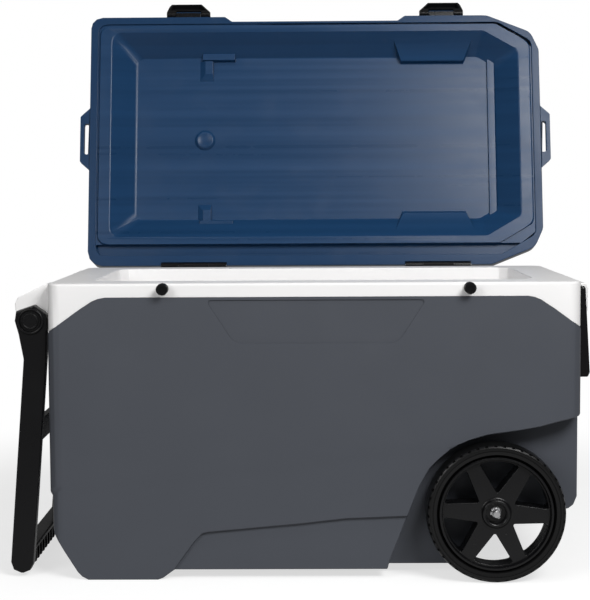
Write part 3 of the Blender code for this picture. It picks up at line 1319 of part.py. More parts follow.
def make_hinges(frame, lid):
    """Two long hinges behind the rim: a leaf on the rim, a leaf on the lid and a pin."""
    face = HALF_DEPTH - RIM_SETBACK + GAP
    gap = HINGE_SIDE_GAP
    bore = HINGE_PIN_RADIUS + BORE_CLEARANCE
    for name, place in hinge_places():
        top = HINGE_Z - LID_LIFT - GAP
        low, high = place - HINGE_HALF, place + HINGE_HALF
        plate = box((low, face, top - HINGE_PLATE_HEIGHT), (high, face + HINGE_PLATE, top))
        leaf = piece("hinge_body_leaf_" + name, plate, frame, "handle_black")
        for side in (-1, 1):
            start, end = sorted((place + side * (HINGE_MIDDLE_HALF + gap), place + side * (HINGE_HALF - gap)))
            web = box((start, face + HINGE_PLATE / 2, top - HINGE_WEB), (end, HINGE_Y, top - gap))
            join(leaf, web)
            barrel = cylinder(HINGE_BARREL, "X", start - gap / 2, end + gap / 2, (HINGE_Y, HINGE_Z), SMALL_STEPS)
            join(leaf, barrel)
        span = HINGE_HALF + OVERRUN
        cut(leaf, cylinder(bore, "X", place - span, place + span, (HINGE_Y, HINGE_Z), SMALL_STEPS))
        middle = HINGE_MIDDLE_HALF
        plate_low = (place - HINGE_HALF, GAP, HINGE_LEAF_START)
        plate_high = (place + HINGE_HALF, GAP + HINGE_PLATE, HINGE_LEAF_HEIGHT)
        lid_leaf = piece("hinge_lid_leaf_" + name, box(plate_low, plate_high), lid, "handle_black")
        tab_high = (place + middle - gap, HINGE_BARREL - gap, HINGE_LEAF_START + HINGE_PLATE / 2)
        join(lid_leaf, box((place - middle + gap, GAP * 2, 0), tab_high))
        low, high = place - middle + gap / 2, place + middle - gap / 2
        join(lid_leaf, cylinder(HINGE_BARREL, "X", low, high, steps=SMALL_STEPS))
        cut(lid_leaf, cylinder(bore, "X", place - span, place + span, steps=SMALL_STEPS))
        half = HINGE_HALF + HINGE_SIDE_GAP
        pin = cylinder(HINGE_PIN_RADIUS, "X", place - half, place + half, (HINGE_Y, HINGE_Z), SMALL_STEPS)
        piece("hinge_pin_" + name, pin, frame, "pin_steel")


# Tow handle


def tow_arm_outline():
    """An arm round its pivot at (0, 0): a wide head, a neck, and a straight leg that leans out."""
    boss = TOW_BOSS_RADIUS
    half = TOW_ARM_WIDTH / 2
    head = [(x * boss, z * boss, boss * TOW_HEAD_ROUND_SHARE) for x, z in TOW_HEAD_SHARES]
    cheek_x, cheek_z = TOW_CHEEK_SHARES
    neck = -TOW_LENGTH * TOW_NECK_SHARE
    neck_x, _ = tow_leg(neck)
    toe_x, toe = tow_leg(-TOW_LENGTH)
    right = [(neck_x + half, neck, boss)]
    toe_round = half * TOW_TOE_ROUND_SHARE
    low = [(toe_x + half, toe, toe_round), (toe_x - half, toe, toe_round)]
    left = [(neck_x - half, neck, boss), (boss * cheek_x, boss * cheek_z, boss)]
    return rounded(head[2:] + right + low + left + head[:2], 2)


def tow_leg(height):
    """The middle of a leg at a height below the pivot."""
    return TOW_LEG_OFFSET + height * TOW_LEAN, height


def make_tow_handle(frame):
    """Two arms, a crossbar and a ribbed grip, tenoned into the arms, on two pivot bolts."""
    pivot = empty("tow_handle_axis", (TOW_X, 0, TOW_Z), frame)
    bars = {
        "tow_crossbar": (TOW_BAR_DROP, TOW_BAR_HEIGHT, TOW_BAR_THICKNESS),
        "tow_grip": (TOW_LENGTH - TOW_GRIP_UP, TOW_GRIP_HEIGHT, TOW_GRIP_THICKNESS),
    }
    for side, end in ((-1, "front"), (1, "rear")):
        low, high = sorted((side * TOW_ARM_INNER, side * TOW_ARM_OUTER))
        arm = piece("tow_arm_" + end, prism(tow_arm_outline(), "Y", low, high), pivot, "handle_black")
        bevel(arm, TOW_ARM_BEVEL, 2, math.radians(60))
        boss_low, boss_high = sorted((side * (TOW_ARM_OUTER - GAP), side * (TOW_ARM_OUTER + TOW_BOSS_PROUD)))
        join(arm, cylinder(TOW_BOSS_RADIUS, "Y", boss_low, boss_high))
        bolt_hole = TOW_BOLT_RADIUS + BORE_CLEARANCE
        cut(arm, cylinder(bolt_hole, "Y", low - OVERRUN, high + OVERRUN))
        for drop, height, thickness in bars.values():
            x, z = tow_leg(-drop)
            inset = TOW_TENON_INSET - GAP
            half_x, half_z = thickness / 2 - inset, height / 2 - inset
            end_of_tenon = TOW_ARM_INNER + TOW_TENON_DEPTH + GAP
            start, stop = sorted((side * (TOW_ARM_INNER - OVERRUN), side * end_of_tenon))
            cut(arm, box((x - half_x, start, z - half_z), (x + half_x, stop, z + half_z)))
    length = TOW_ARM_INNER - GAP
    for name, (drop, height, thickness) in bars.items():
        x, z = tow_leg(-drop)
        half_x, half_z = thickness / 2, height / 2
        outline = rectangle(x - half_x, x + half_x, z - half_z, z + half_z, TOW_BAR_BEVEL, 2)
        bar = piece(name, prism(outline, "Y", -length, length), pivot, "handle_black")
        half_x, half_z = half_x - TOW_TENON_INSET, half_z - TOW_TENON_INSET
        tenon = length + TOW_TENON_DEPTH
        join(bar, box((x - half_x, -tenon, z - half_z), (x + half_x, tenon, z + half_z)))
        if name == "tow_grip":
            cut_grip_ribs(bar, x, z, length)
    make_tow_bolts(frame)


def cut_grip_ribs(grip, x, z, length):
    """A row of pockets, open towards the body and below, leaves the ribs."""
    start = TOW_RIB_END - length
    pitch = (2 * (length - TOW_RIB_END) + TOW_RIB_THICKNESS) / TOW_RIBS
    floor = z - TOW_GRIP_HEIGHT / 2 - OVERRUN
    ceiling = z + TOW_GRIP_HEIGHT / 2 - TOW_RIB_WALL
    face = x + TOW_GRIP_THICKNESS / 2
    for i in range(TOW_RIBS):
        low = start + i * pitch
        high = low + pitch - TOW_RIB_THICKNESS
        cut(grip, box((face - TOW_RIB_DEPTH, low, floor), (face + OVERRUN, high, ceiling)))


def make_tow_bolts(frame):
    """Each bolt's round head sits on the arm, and its shank goes through into the rim's lug."""
    outside = TOW_ARM_OUTER + TOW_BOSS_PROUD + GAP
    ring = TOW_BOLT_HEAD_RADIUS - TOW_BOLT_RING
    for side, end in ((-1, "front"), (1, "rear")):
        turn = (0, 0, 0 if side < 0 else math.pi)
        seat = empty("tow_bolt_seat_" + end, (TOW_X, side * outside, TOW_Z), frame, turn)
        shank = TOW_ARM_THICKNESS + TOW_BOSS_PROUD + TOW_BOLT_GRIP
        head = TOW_BOLT_HEAD
        profile = (
            (0, shank), (TOW_BOLT_RADIUS, shank), (TOW_BOLT_RADIUS, 0), (TOW_BOLT_HEAD_RADIUS, 0),
            (TOW_BOLT_HEAD_RADIUS, -head * 2 / 3), (TOW_BOLT_HEAD_RADIUS - head / 3, -head),
            (ring, -head), (ring - head / 3, -head * 2 / 3), (0, -head * 2 / 3),
        )
        turned("tow_bolt_" + end, profile, "Y", seat, "handle_black")


# Side handle


def side_arm_outline():
    """The bail seen from the front, round its pivot: narrow at the pin, wide at the grip."""
    length = SIDE_HANDLE_LENGTH
    radius = SIDE_HEAD_RADIUS
    head = [(x * radius, radius, share * radius) for x, share in SIDE_HEAD_SHARES]
    toe = [
        (SIDE_WIDTH - SIDE_BACK / 2, -length * SIDE_TOE_SHARE, SIDE_GRIP_ROUND),
        (SIDE_WIDTH - SIDE_BACK, -length, SIDE_GRIP_ROUND / 2), (-SIDE_BACK, -length, SIDE_GRIP_ROUND / 3),
    ]
    return rounded(head + toe)


def make_side_handle(frame):
    """A bail on two pins, outside the ends of the rim's lug."""
    pivot = empty("side_handle_axis", (SIDE_X, 0, SIDE_Z), frame)
    inner = SIDE_LUG_HALF + GAP
    outer = inner + SIDE_ARM_THICKNESS
    handle = piece("side_handle", prism(side_arm_outline(), "Y", -outer, outer), pivot, "handle_black")
    low = (-SIDE_LUG_REACH, -inner, SIDE_GRIP_HEIGHT - SIDE_HANDLE_LENGTH)
    cut(handle, box(low, (SIDE_LUG_REACH * 2, inner, SIDE_HANDLE_LENGTH)))
    bore = SIDE_PIN_RADIUS + BORE_CLEARANCE
    cut(handle, cylinder(bore, "Y", -outer - OVERRUN, outer + OVERRUN, steps=SMALL_STEPS))
    for side, end in ((-1, "front"), (1, "rear")):
        turn = (0, 0, 0 if side < 0 else math.pi)
        seat = empty("side_pin_seat_" + end, (SIDE_X, side * (outer + GAP), SIDE_Z), frame, turn)
        shank = SIDE_ARM_THICKNESS + GAP + SIDE_LUG_END
        profile = (
            (0, shank), (SIDE_PIN_RADIUS, shank), (SIDE_PIN_RADIUS, 0), (SIDE_PIN_HEAD_RADIUS, 0),
            (SIDE_PIN_HEAD_RADIUS, -SIDE_PIN_HEAD / 2), (SIDE_PIN_HEAD_RADIUS / 2, -SIDE_PIN_HEAD),
            (0, -SIDE_PIN_HEAD),
        )
        turned("side_handle_pin_" + end, profile, "Y", seat, "handle_black", steps=SMALL_STEPS)


def make_cooler():
    root = empty("cooler_origin", (-(REACH_LEFT + REACH_RIGHT) / 2, -(REACH_FRONT + REACH_REAR) / 2, 0))
    make_outer_shell(root)
    make_foam_core(root)
    make_liner(root)
    make_latch_studs(root)
    make_drain(root)
    make_running_gear(root)
    lid = empty("lid_hinge_axis", (0, HINGE_Y, HINGE_Z), root, (-math.pi / 2 - LID_LEAN, 0, 0))
    make_lid_shell(lid)
    make_lid_liner(lid)
    make_lid_foam(lid)
    make_latches(lid)
    make_hinges(root, lid)
    make_tow_handle(root)
    make_side_handle(root)


clear_scene()
PARTS = new_collection("wheeled_cooler")
CUTTERS = new_collection("cutters")
MATERIALS = new_materials()
make_cooler()
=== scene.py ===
"""A wheeled cooler with its lid open: the look of its mouldings, on a pale floor."""

import json
import math

import bmesh
import bpy
from mathutils import Matrix, Vector

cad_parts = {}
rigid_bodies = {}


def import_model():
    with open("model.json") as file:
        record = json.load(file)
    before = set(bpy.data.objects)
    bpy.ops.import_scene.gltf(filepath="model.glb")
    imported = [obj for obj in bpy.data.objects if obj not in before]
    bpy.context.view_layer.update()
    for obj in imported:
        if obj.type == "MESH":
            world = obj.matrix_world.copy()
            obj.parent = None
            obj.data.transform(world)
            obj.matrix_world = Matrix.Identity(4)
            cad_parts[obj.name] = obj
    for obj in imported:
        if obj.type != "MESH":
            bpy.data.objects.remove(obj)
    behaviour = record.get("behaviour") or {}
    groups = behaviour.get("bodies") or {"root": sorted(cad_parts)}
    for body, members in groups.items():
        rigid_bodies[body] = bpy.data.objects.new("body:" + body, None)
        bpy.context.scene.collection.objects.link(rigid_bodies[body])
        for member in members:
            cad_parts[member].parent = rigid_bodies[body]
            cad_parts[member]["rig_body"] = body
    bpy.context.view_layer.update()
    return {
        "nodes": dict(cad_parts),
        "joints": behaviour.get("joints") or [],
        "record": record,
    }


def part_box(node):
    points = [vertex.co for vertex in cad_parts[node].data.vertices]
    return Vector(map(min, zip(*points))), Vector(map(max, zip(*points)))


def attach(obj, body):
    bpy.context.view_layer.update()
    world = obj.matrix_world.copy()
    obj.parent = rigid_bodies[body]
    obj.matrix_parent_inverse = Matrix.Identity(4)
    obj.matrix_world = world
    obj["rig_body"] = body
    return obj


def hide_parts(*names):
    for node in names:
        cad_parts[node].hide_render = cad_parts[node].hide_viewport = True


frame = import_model()
NODES = frame["nodes"]
JOINTS = {joint["name"]: Vector(joint["pos_m"]) for joint in frame["joints"]}
SHELL_LOW, SHELL_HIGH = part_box("outer_shell")
LID_LEAN = math.radians(12.5)

# Middle of the studs, middle of the depth
STUDS = []
for side in ("left", "right"):
    stud_low, stud_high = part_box("latch_stud_" + side)
    STUDS.append((stud_low + stud_high) / 2)
MIDDLE_X = (STUDS[0].x + STUDS[1].x) / 2
MIDDLE_Y = (SHELL_LOW.y + SHELL_HIGH.y) / 2


def at(x, y, z):
    """A place measured from the plane between the studs and the middle of the depth."""
    return Vector((MIDDLE_X + x, MIDDLE_Y + y, z))


# Lid coordinates: x, v from the hinge line to the front edge, w above the under face
LID_FRAME = Matrix.Translation(JOINTS["lid_hinge"]) @ Matrix.Rotation(-math.pi / 2 - LID_LEAN, 4, "X")


# Node groups and finishes

SLOW_NOISE_DETAIL = 4
GRAIN_DETAIL = 3
GRAIN_ROUGHNESS = 0.6
# The streaks are cut between the noise's whole-number planes, where it would be flat
STREAK_PLANE = 0.37
SMUDGE_DETAIL = 6
SMUDGE_DISTORTION = 0.4
SMUDGE_BAND = (0.5, 0.75)
SMUDGE_ROUGHNESS = 0.35
STREAK_ROUGHNESS_PART = 3
MIDDLE_OF_NOISE = 0.5


def new_group(name, inputs, outputs):
    group = bpy.data.node_groups.new(name, "ShaderNodeTree")
    for label, default in inputs:
        kind = "NodeSocketColor" if isinstance(default, tuple) else "NodeSocketFloat"
        socket = group.interface.new_socket(name=label, in_out="INPUT", socket_type=kind)
        socket.default_value = default
    for label, kind in outputs:
        group.interface.new_socket(name=label, in_out="OUTPUT", socket_type=kind)
    start = group.nodes.new("NodeGroupInput")
    end = group.nodes.new("NodeGroupOutput")
    return group, start, end


def node(tree, kind, **settings):
    made = tree.nodes.new(kind)
    for key, value in settings.items():
        setattr(made, key, value)
    return made


def math_node(tree, operation, first, second):
    made = tree.nodes.new("ShaderNodeMath")
    made.operation = operation
    for slot, value in enumerate((first, second)):
        if isinstance(value, bpy.types.NodeSocket):
            tree.links.new(value, made.inputs[slot])
        else:
            made.inputs[slot].default_value = value
    return made.outputs[0]


def make_grain_group():
    """Fine moulded grain: a height, and a slow tone that varies over the surface."""
    group, start, end = new_group(
        "moulded_grain",
        (("Grain Scale", 900.0), ("Patch Scale", 9.0), ("Contrast", 0.05)),
        (("Height", "NodeSocketFloat"), ("Tone", "NodeSocketFloat")),
    )
    place = node(group, "ShaderNodeTexCoord")
    fine = node(group, "ShaderNodeTexNoise")
    fine.inputs["Detail"].default_value = GRAIN_DETAIL
    fine.inputs["Roughness"].default_value = GRAIN_ROUGHNESS
    group.links.new(place.outputs["Object"], fine.inputs["Vector"])
    group.links.new(start.outputs["Grain Scale"], fine.inputs["Scale"])
    slow = node(group, "ShaderNodeTexNoise")
    slow.inputs["Detail"].default_value = SLOW_NOISE_DETAIL
    group.links.new(place.outputs["Object"], slow.inputs["Vector"])
    group.links.new(start.outputs["Patch Scale"], slow.inputs["Scale"])
    centred = math_node(group, "SUBTRACT", slow.outputs["Fac"], MIDDLE_OF_NOISE)
    spread = math_node(group, "MULTIPLY", centred, start.outputs["Contrast"])
    tone = math_node(group, "ADD", spread, 1.0)
    group.links.new(fine.outputs["Fac"], end.inputs["Height"])
    group.links.new(tone, end.inputs["Tone"])
    return group


def make_flow_group():
    """Faint flow marks of a moulded sheet: long streaks across the lid."""
    group, start, end = new_group(
        "flow_marks",
        (("Length", 1.0), ("Fineness", 120.0)),
        (("Streak", "NodeSocketFloat"),),
    )
    place = node(group, "ShaderNodeTexCoord")
    split = node(group, "ShaderNodeSeparateXYZ")
    group.links.new(place.outputs["Object"], split.inputs[0])
    long = math_node(group, "MULTIPLY", split.outputs["X"], start.outputs["Length"])
    fine = math_node(group, "MULTIPLY", split.outputs["Z"], start.outputs["Fineness"])
    joined = node(group, "ShaderNodeCombineXYZ")
    group.links.new(long, joined.inputs["X"])
    joined.inputs["Y"].default_value = STREAK_PLANE
    group.links.new(fine, joined.inputs["Z"])
    noise = node(group, "ShaderNodeTexNoise")
    noise.inputs["Scale"].default_value = 1
    noise.inputs["Detail"].default_value = 0
    group.links.new(joined.outputs[0], noise.inputs["Vector"])
    group.links.new(noise.outputs["Fac"], end.inputs["Streak"])
    return group


def make_dust_group():
    """Light handling marks: a sparse mask of soft smudges."""
    group, start, end = new_group(
        "handling_marks",
        (("Scale", 14.0), ("Amount", 0.3)),
        (("Mask", "NodeSocketFloat"),),
    )
    place = node(group, "ShaderNodeTexCoord")
    noise = node(group, "ShaderNodeTexNoise")
    noise.inputs["Detail"].default_value = SMUDGE_DETAIL
    noise.inputs["Distortion"].default_value = SMUDGE_DISTORTION
    group.links.new(place.outputs["Object"], noise.inputs["Vector"])
    group.links.new(start.outputs["Scale"], noise.inputs["Scale"])
    band = node(group, "ShaderNodeMapRange")
    band.inputs["From Min"].default_value = SMUDGE_BAND[0]
    band.inputs["From Max"].default_value = SMUDGE_BAND[1]
    group.links.new(noise.outputs["Fac"], band.inputs["Value"])
    mask = math_node(group, "MULTIPLY", band.outputs[0], start.outputs["Amount"])
    group.links.new(mask, end.inputs["Mask"])
    return group


GRAIN = make_grain_group()
FLOW = make_flow_group()
MARKS = make_dust_group()


def finish(name, colour, roughness, grain, depth, contrast, marks, flow=0.0, metallic=0.0, specular=0.5):
    """A moulded plastic or plain metal finish: grain in the bump, slow tone, marks in the roughness."""
    made = bpy.data.materials.new(name)
    made.use_nodes = True
    tree = made.node_tree
    shader = tree.nodes["Principled BSDF"]
    shader.inputs["Metallic"].default_value = metallic
    shader.inputs["Specular IOR Level"].default_value = specular
    grains = node(tree, "ShaderNodeGroup", node_tree=GRAIN)
    grains.inputs["Grain Scale"].default_value = grain
    grains.inputs["Contrast"].default_value = contrast
    smudges = node(tree, "ShaderNodeGroup", node_tree=MARKS)
    smudges.inputs["Amount"].default_value = marks
    tint = node(tree, "ShaderNodeMix", data_type="RGBA", blend_type="MULTIPLY")
    tint.inputs["Factor"].default_value = 1
    tint.inputs[6].default_value = (*colour, 1)
    shade = node(tree, "ShaderNodeCombineColor")
    tone = grains.outputs["Tone"]
    if flow:
        streaks = node(tree, "ShaderNodeGroup", node_tree=FLOW)
        streak = math_node(tree, "SUBTRACT", streaks.outputs["Streak"], MIDDLE_OF_NOISE)
        tone = math_node(tree, "ADD", tone, math_node(tree, "MULTIPLY", streak, flow))
    for channel in range(3):
        tree.links.new(tone, shade.inputs[channel])
    tree.links.new(shade.outputs[0], tint.inputs[7])
    tree.links.new(tint.outputs[2], shader.inputs["Base Color"])
    rough = math_node(tree, "MULTIPLY", smudges.outputs["Mask"], SMUDGE_ROUGHNESS)
    rough = math_node(tree, "ADD", rough, roughness)
    if flow:
        streak_share = math_node(tree, "MULTIPLY", streak, flow / STREAK_ROUGHNESS_PART)
        rough = math_node(tree, "ADD", rough, streak_share)
    tree.links.new(rough, shader.inputs["Roughness"])
    bump = node(tree, "ShaderNodeBump")
    bump.inputs["Strength"].default_value = 1
    bump.inputs["Distance"].default_value = depth
    tree.links.new(grains.outputs["Height"], bump.inputs["Height"])
    tree.links.new(bump.outputs[0], shader.inputs["Normal"])
    return made


SHELL_GREY = finish(
    "shell_grey", colour=(0.063, 0.069, 0.083), roughness=0.46, grain=1400, depth=0.00006,
    contrast=0.08, marks=0.25, specular=0.35,
)
RIM_WHITE = finish(
    "rim_white", colour=(0.88, 0.872, 0.868), roughness=0.36, grain=700, depth=0.00002,
    contrast=0.02, marks=0.15,
)
LID_NAVY = finish(
    "lid_navy", colour=(0.008, 0.034, 0.088), roughness=0.30, grain=500, depth=0.00003,
    contrast=0.08, marks=0.2, specular=0.18,
)
PAN_NAVY = finish(
    "pan_navy", colour=(0.008, 0.038, 0.100), roughness=0.30, grain=500, depth=0.00004,
    contrast=0.08, marks=0.2, flow=0.32, specular=0.25,
)
HANDLE_BLACK = finish(
    "handle_black", colour=(0.0045, 0.0045, 0.0050), roughness=0.26, grain=800, depth=0.00003,
    contrast=0.10, marks=0.3, specular=0.2,
)
WHEEL_BLACK = finish(
    "wheel_black", colour=(0.0040, 0.0040, 0.0045), roughness=0.24, grain=600, depth=0.00003,
    contrast=0.10, marks=0.3, specular=0.3,
)
TYRE_BLACK = finish(
    "tyre_black", colour=(0.0050, 0.0050, 0.0052), roughness=0.30, grain=900, depth=0.00006,
    contrast=0.15, marks=0.4, specular=0.25,
)
AXLE_STEEL = finish(
    "axle_steel", colour=(0.56, 0.56, 0.57), roughness=0.24, grain=1200, depth=0.00002,
    contrast=0.10, marks=0.3, metallic=1.0,
)
PIN_STEEL = finish(
    "pin_steel", colour=(0.45, 0.45, 0.46), roughness=0.32, grain=1200, depth=0.00002,
    contrast=0.10, marks=0.3, metallic=1.0,
)
FOAM_YELLOW = finish(
    "foam_yellow", colour=(0.75, 0.66, 0.40), roughness=0.90, grain=300, depth=0.0003,
    contrast=0.20, marks=0.1,
)
# Painted shade: the lid's foam, yellow in the real cooler, is coloured dark navy so that where it shows in
# the lid's seams it reads as shade
LID_FOAM_PAINTED_SHADE = finish(
    "lid_foam", colour=(0.004, 0.014, 0.034), roughness=0.90, grain=300, depth=0.0003,
    contrast=0.20, marks=0.1,
)
DRAIN_WHITE = finish(
    "drain_white", colour=(0.78, 0.78, 0.77), roughness=0.40, grain=700, depth=0.00002,
    contrast=0.04, marks=0.2,
)
GASKET_RUBBER = finish(
    "gasket_rubber", colour=(0.02, 0.02, 0.02), roughness=0.75, grain=900, depth=0.00005,
    contrast=0.10, marks=0.2,
)

FINISH_OF_SLOT = {
    "shell_grey": SHELL_GREY, "rim_white": RIM_WHITE, "lid_navy": LID_NAVY, "handle_black": HANDLE_BLACK,
    "tyre_black": TYRE_BLACK, "axle_steel": AXLE_STEEL, "pin_steel": PIN_STEEL, "foam_yellow": FOAM_YELLOW,
    "drain_white": DRAIN_WHITE, "gasket_rubber": GASKET_RUBBER,
}
SLOT_OF_NODE = {entry["node"]: entry["material_slot"] for entry in frame["record"]["subparts"]}
BODY_OF_NODE = {name: obj["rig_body"] for name, obj in NODES.items()}
for name, obj in NODES.items():
    obj.data.materials.clear()
    obj.data.materials.append(FINISH_OF_SLOT[SLOT_OF_NODE[name]])


# Modelling helpers


def select_only(obj):
    if bpy.context.mode != "OBJECT":
        bpy.ops.object.mode_set(mode="OBJECT")
    bpy.ops.object.select_all(action="DESELECT")
    obj.select_set(True)
    bpy.context.view_layer.objects.active = obj


def settle(obj, material, smooth=35):
    """Moves the place into the mesh, gives the finish and shades it."""
    select_only(obj)
    bpy.ops.object.transform_apply(location=True, rotation=True, scale=True)
    obj.data.materials.clear()
    obj.data.materials.append(material)
    bpy.ops.object.shade_smooth_by_angle(angle=math.radians(smooth))
    weights = obj.modifiers.new("weights", "WEIGHTED_NORMAL")
    weights.keep_sharp = True
    bpy.ops.object.modifier_apply(modifier=weights.name)
    return obj


def pick_edges(obj, test):
    """Selects the edges that pass a test, in edit mode."""
    bpy.ops.object.mode_set(mode="EDIT")
    bpy.ops.mesh.select_mode(type="EDGE")
    bpy.ops.mesh.select_all(action="DESELECT")
    shape = bmesh.from_edit_mesh(obj.data)
    count = 0
    for edge in shape.edges:
        if test(edge):
            edge.select_set(True)
            count += 1
    bmesh.update_edit_mesh(obj.data)
    return count


ROOM_FOR_ROUND = 2.4
FOAM_SET_BACK = 0.0030
MERGE_NODES = 0.00001
MERGE_TURNED = 0.000005
FLAT_WITHIN = math.radians(0.6)
BLOCK_ROUND_STEPS = 2


def crease_with_room(width, angle):
    """An edge sharper than the angle, whose neighbours are long enough for a round of that width."""

    def test(edge):
        if len(edge.link_faces) != 2 or edge.calc_face_angle(0) < angle:
            return False
        for vert in edge.verts:
            for other in vert.link_edges:
                if other is not edge and other.calc_length() <= width * ROOM_FOR_ROUND:
                    return False
        return True

    return test


def softened(name, width, segments=2, angle=40, material=None, reshape=None):
    """A node's form with its sharp corners rounded; it stands for the node."""
    obj = bpy.data.objects.new(name + "_moulding", NODES[name].data.copy())
    bpy.context.scene.collection.objects.link(obj)
    select_only(obj)
    bpy.ops.mesh.customdata_custom_splitnormals_clear()
    bpy.ops.object.mode_set(mode="EDIT")
    bpy.ops.mesh.select_all(action="SELECT")
    bpy.ops.mesh.remove_doubles(threshold=MERGE_NODES)
    bpy.ops.mesh.dissolve_limited(angle_limit=FLAT_WITHIN)
    if reshape:
        reshape(obj)
    if width and pick_edges(obj, crease_with_room(width, math.radians(angle))):
        bpy.ops.mesh.bevel(offset=width, segments=segments, profile=0.5, affect="EDGES", clamp_overlap=False)
    bpy.ops.object.mode_set(mode="OBJECT")
    settle(obj, material or FINISH_OF_SLOT[SLOT_OF_NODE[name]])
    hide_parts(name)
    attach(obj, BODY_OF_NODE[name])
    return obj


def draw_in(obj):
    """Sets every face back a little, so that the foam lies deeper in the seams of the lid."""
    bpy.ops.mesh.select_all(action="SELECT")
    bpy.ops.transform.shrink_fatten(value=-FOAM_SET_BACK, use_even_offset=True)


def added(obj, name, body, material, smooth=35):
    """Names, finishes and seats a piece that stands beside the nodes."""
    obj.name = name
    settle(obj, material, smooth)
    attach(obj, body)
    return obj


def new_block(low, high, round_edges, place=Matrix()):
    """A bar between two corners, rounded where a width is given, then placed."""
    size = Vector(high) - Vector(low)
    middle = (Vector(high) + Vector(low)) / 2
    bpy.ops.object.select_all(action="DESELECT")
    bpy.ops.mesh.primitive_cube_add(size=1, location=middle)
    obj = bpy.context.object
    obj.scale = size
    bpy.ops.object.transform_apply(location=True, rotation=False, scale=True)
    bpy.ops.object.mode_set(mode="EDIT")
    if round_edges:
        bpy.ops.mesh.select_all(action="SELECT")
        bpy.ops.mesh.bevel(offset=round_edges, segments=BLOCK_ROUND_STEPS, affect="EDGES")
    bpy.ops.object.mode_set(mode="OBJECT")
    obj.matrix_world = place
    return obj


def turned_piece(profile, steps, place, closed=False):
    """Rings of (radius, height) round Z, extruded one from the other, then placed."""
    bpy.ops.object.select_all(action="DESELECT")
    radius, height = profile[0]
    fill = "NOTHING" if closed else "NGON"
    bpy.ops.mesh.primitive_circle_add(vertices=steps, radius=radius, fill_type=fill, location=(0, 0, height))
    obj = bpy.context.object
    bpy.ops.object.transform_apply(location=True)
    bpy.ops.object.mode_set(mode="EDIT")
    bpy.ops.mesh.select_mode(type="VERT")
    bpy.ops.mesh.select_all(action="SELECT")
    for new_radius, new_height in profile[1:]:
        bpy.ops.mesh.extrude_region_move(TRANSFORM_OT_translate={"value": (0, 0, new_height - height)})
        grow = new_radius / radius
        bpy.ops.transform.resize(value=(grow, grow, 1), center_override=(0, 0, new_height))
        radius, height = new_radius, new_height
    bpy.ops.mesh.select_all(action="SELECT")
    bpy.ops.mesh.remove_doubles(threshold=MERGE_TURNED)
    bpy.ops.mesh.normals_make_consistent(inside=False)
    bpy.ops.object.mode_set(mode="OBJECT")
    obj.matrix_world = place
    return obj


# The mouldings

PAN_FLOOR = 0.040
FLOOR_LEFT = -0.368
FLOOR_EDGE_ROUND = 0.0045
FLOOR_EDGE_STEPS = 5
FLOOR_EDGE_LEAST = 0.1
FLOOR_HEIGHT_WITHIN = 0.0006
FLOOR_LEFT_WITHIN = 0.004
GROOVE_FLOOR = 0.012
GROOVE_SPAN = (0.020, 0.046)
GROOVE_PINCH = 0.0108
GROOVE_EXTRA = 0.0240
GROOVE_HEIGHT_WITHIN = 0.0005
FACING_DOWN = -0.99


def shape_lid_liner(obj):
    """Rounds the pan floor's left edge wide, and pulls the rear groove's floor into a steep fold."""
    to_lid = LID_FRAME.inverted()

    def floor_left(edge):
        for vert in edge.verts:
            end = to_lid @ vert.co
            if abs(end.z - PAN_FLOOR) >= FLOOR_HEIGHT_WITHIN or abs(end.x - FLOOR_LEFT) >= FLOOR_LEFT_WITHIN:
                return False
        return edge.calc_length() > FLOOR_EDGE_LEAST

    pick_edges(obj, floor_left)
    bpy.ops.mesh.bevel(offset=FLOOR_EDGE_ROUND, segments=FLOOR_EDGE_STEPS, affect="EDGES", clamp_overlap=True)
    bpy.ops.mesh.select_mode(type="FACE")
    bpy.ops.mesh.select_all(action="DESELECT")
    shape = bmesh.from_edit_mesh(obj.data)
    inward = to_lid.to_3x3()
    for face in shape.faces:
        middle = to_lid @ face.calc_center_median()
        flat = (inward @ face.normal).z < FACING_DOWN
        rear = GROOVE_SPAN[0] < -middle.y < GROOVE_SPAN[1]
        face.select_set(flat and rear and abs(middle.z - GROOVE_FLOOR) < GROOVE_HEIGHT_WITHIN)
    bmesh.update_edit_mesh(obj.data)
    bpy.ops.mesh.inset(thickness=GROOVE_PINCH, depth=-GROOVE_EXTRA, use_boundary=True)
    bpy.ops.mesh.select_mode(type="EDGE")


def make_mouldings():
    """The nodes that show, each with its corners rounded by as much as its size allows."""
    softened("outer_shell", width=0.0022, segments=3, angle=28)
    softened("liner", width=0.0016, segments=3, angle=28)
    softened("lid_shell", width=0.0012, angle=35)
    softened("lid_liner", width=0.0020, segments=3, angle=25, material=PAN_NAVY, reshape=shape_lid_liner)
    # The lid's foam takes the dark navy painted shade in place of its own yellow
    softened("lid_foam", width=0, material=LID_FOAM_PAINTED_SHADE, reshape=draw_in)
    for side in ("left", "right"):
        softened("latch_" + side, width=0.0007)
        softened("latch_stud_" + side, width=0)
    for end in ("front", "rear"):
        softened("tow_arm_" + end, width=0.0014)
    softened("tow_crossbar", width=0.0010)
    softened("tow_grip", width=0.0006)
    softened("side_handle", width=0.0016, segments=3)
    for end in ("front", "rear"):
        softened("tow_bolt_" + end, width=0.0003)


# Tyres

TYRE_STEPS = 144
TYRE_RADIUS = (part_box("tyre_front")[1].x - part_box("tyre_front")[0].x) / 2
TYRE_HALF = (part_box("tyre_front")[1].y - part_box("tyre_front")[0].y) / 2
TYRE_BORE = 0.0967
SIDEWALL_STEPS = (
    (0, 0.60), (0.10, 0.68), (0.16, 0.86), (0.20, 0.90), (0.48, 0.925), (0.50, 0.885), (0.53, 0.885),
    (0.55, 0.93), (0.74, 0.93), (0.76, 0.965), (0.80, 0.975), (0.90, 0.93), (0.965, 0.80), (1, 0.62),
)
NOTCH_DEPTH = 0.0022
NOTCH_EVERY = 3
SHOULDER_START = 0.963
SHOULDER_SLOPE = 0.2


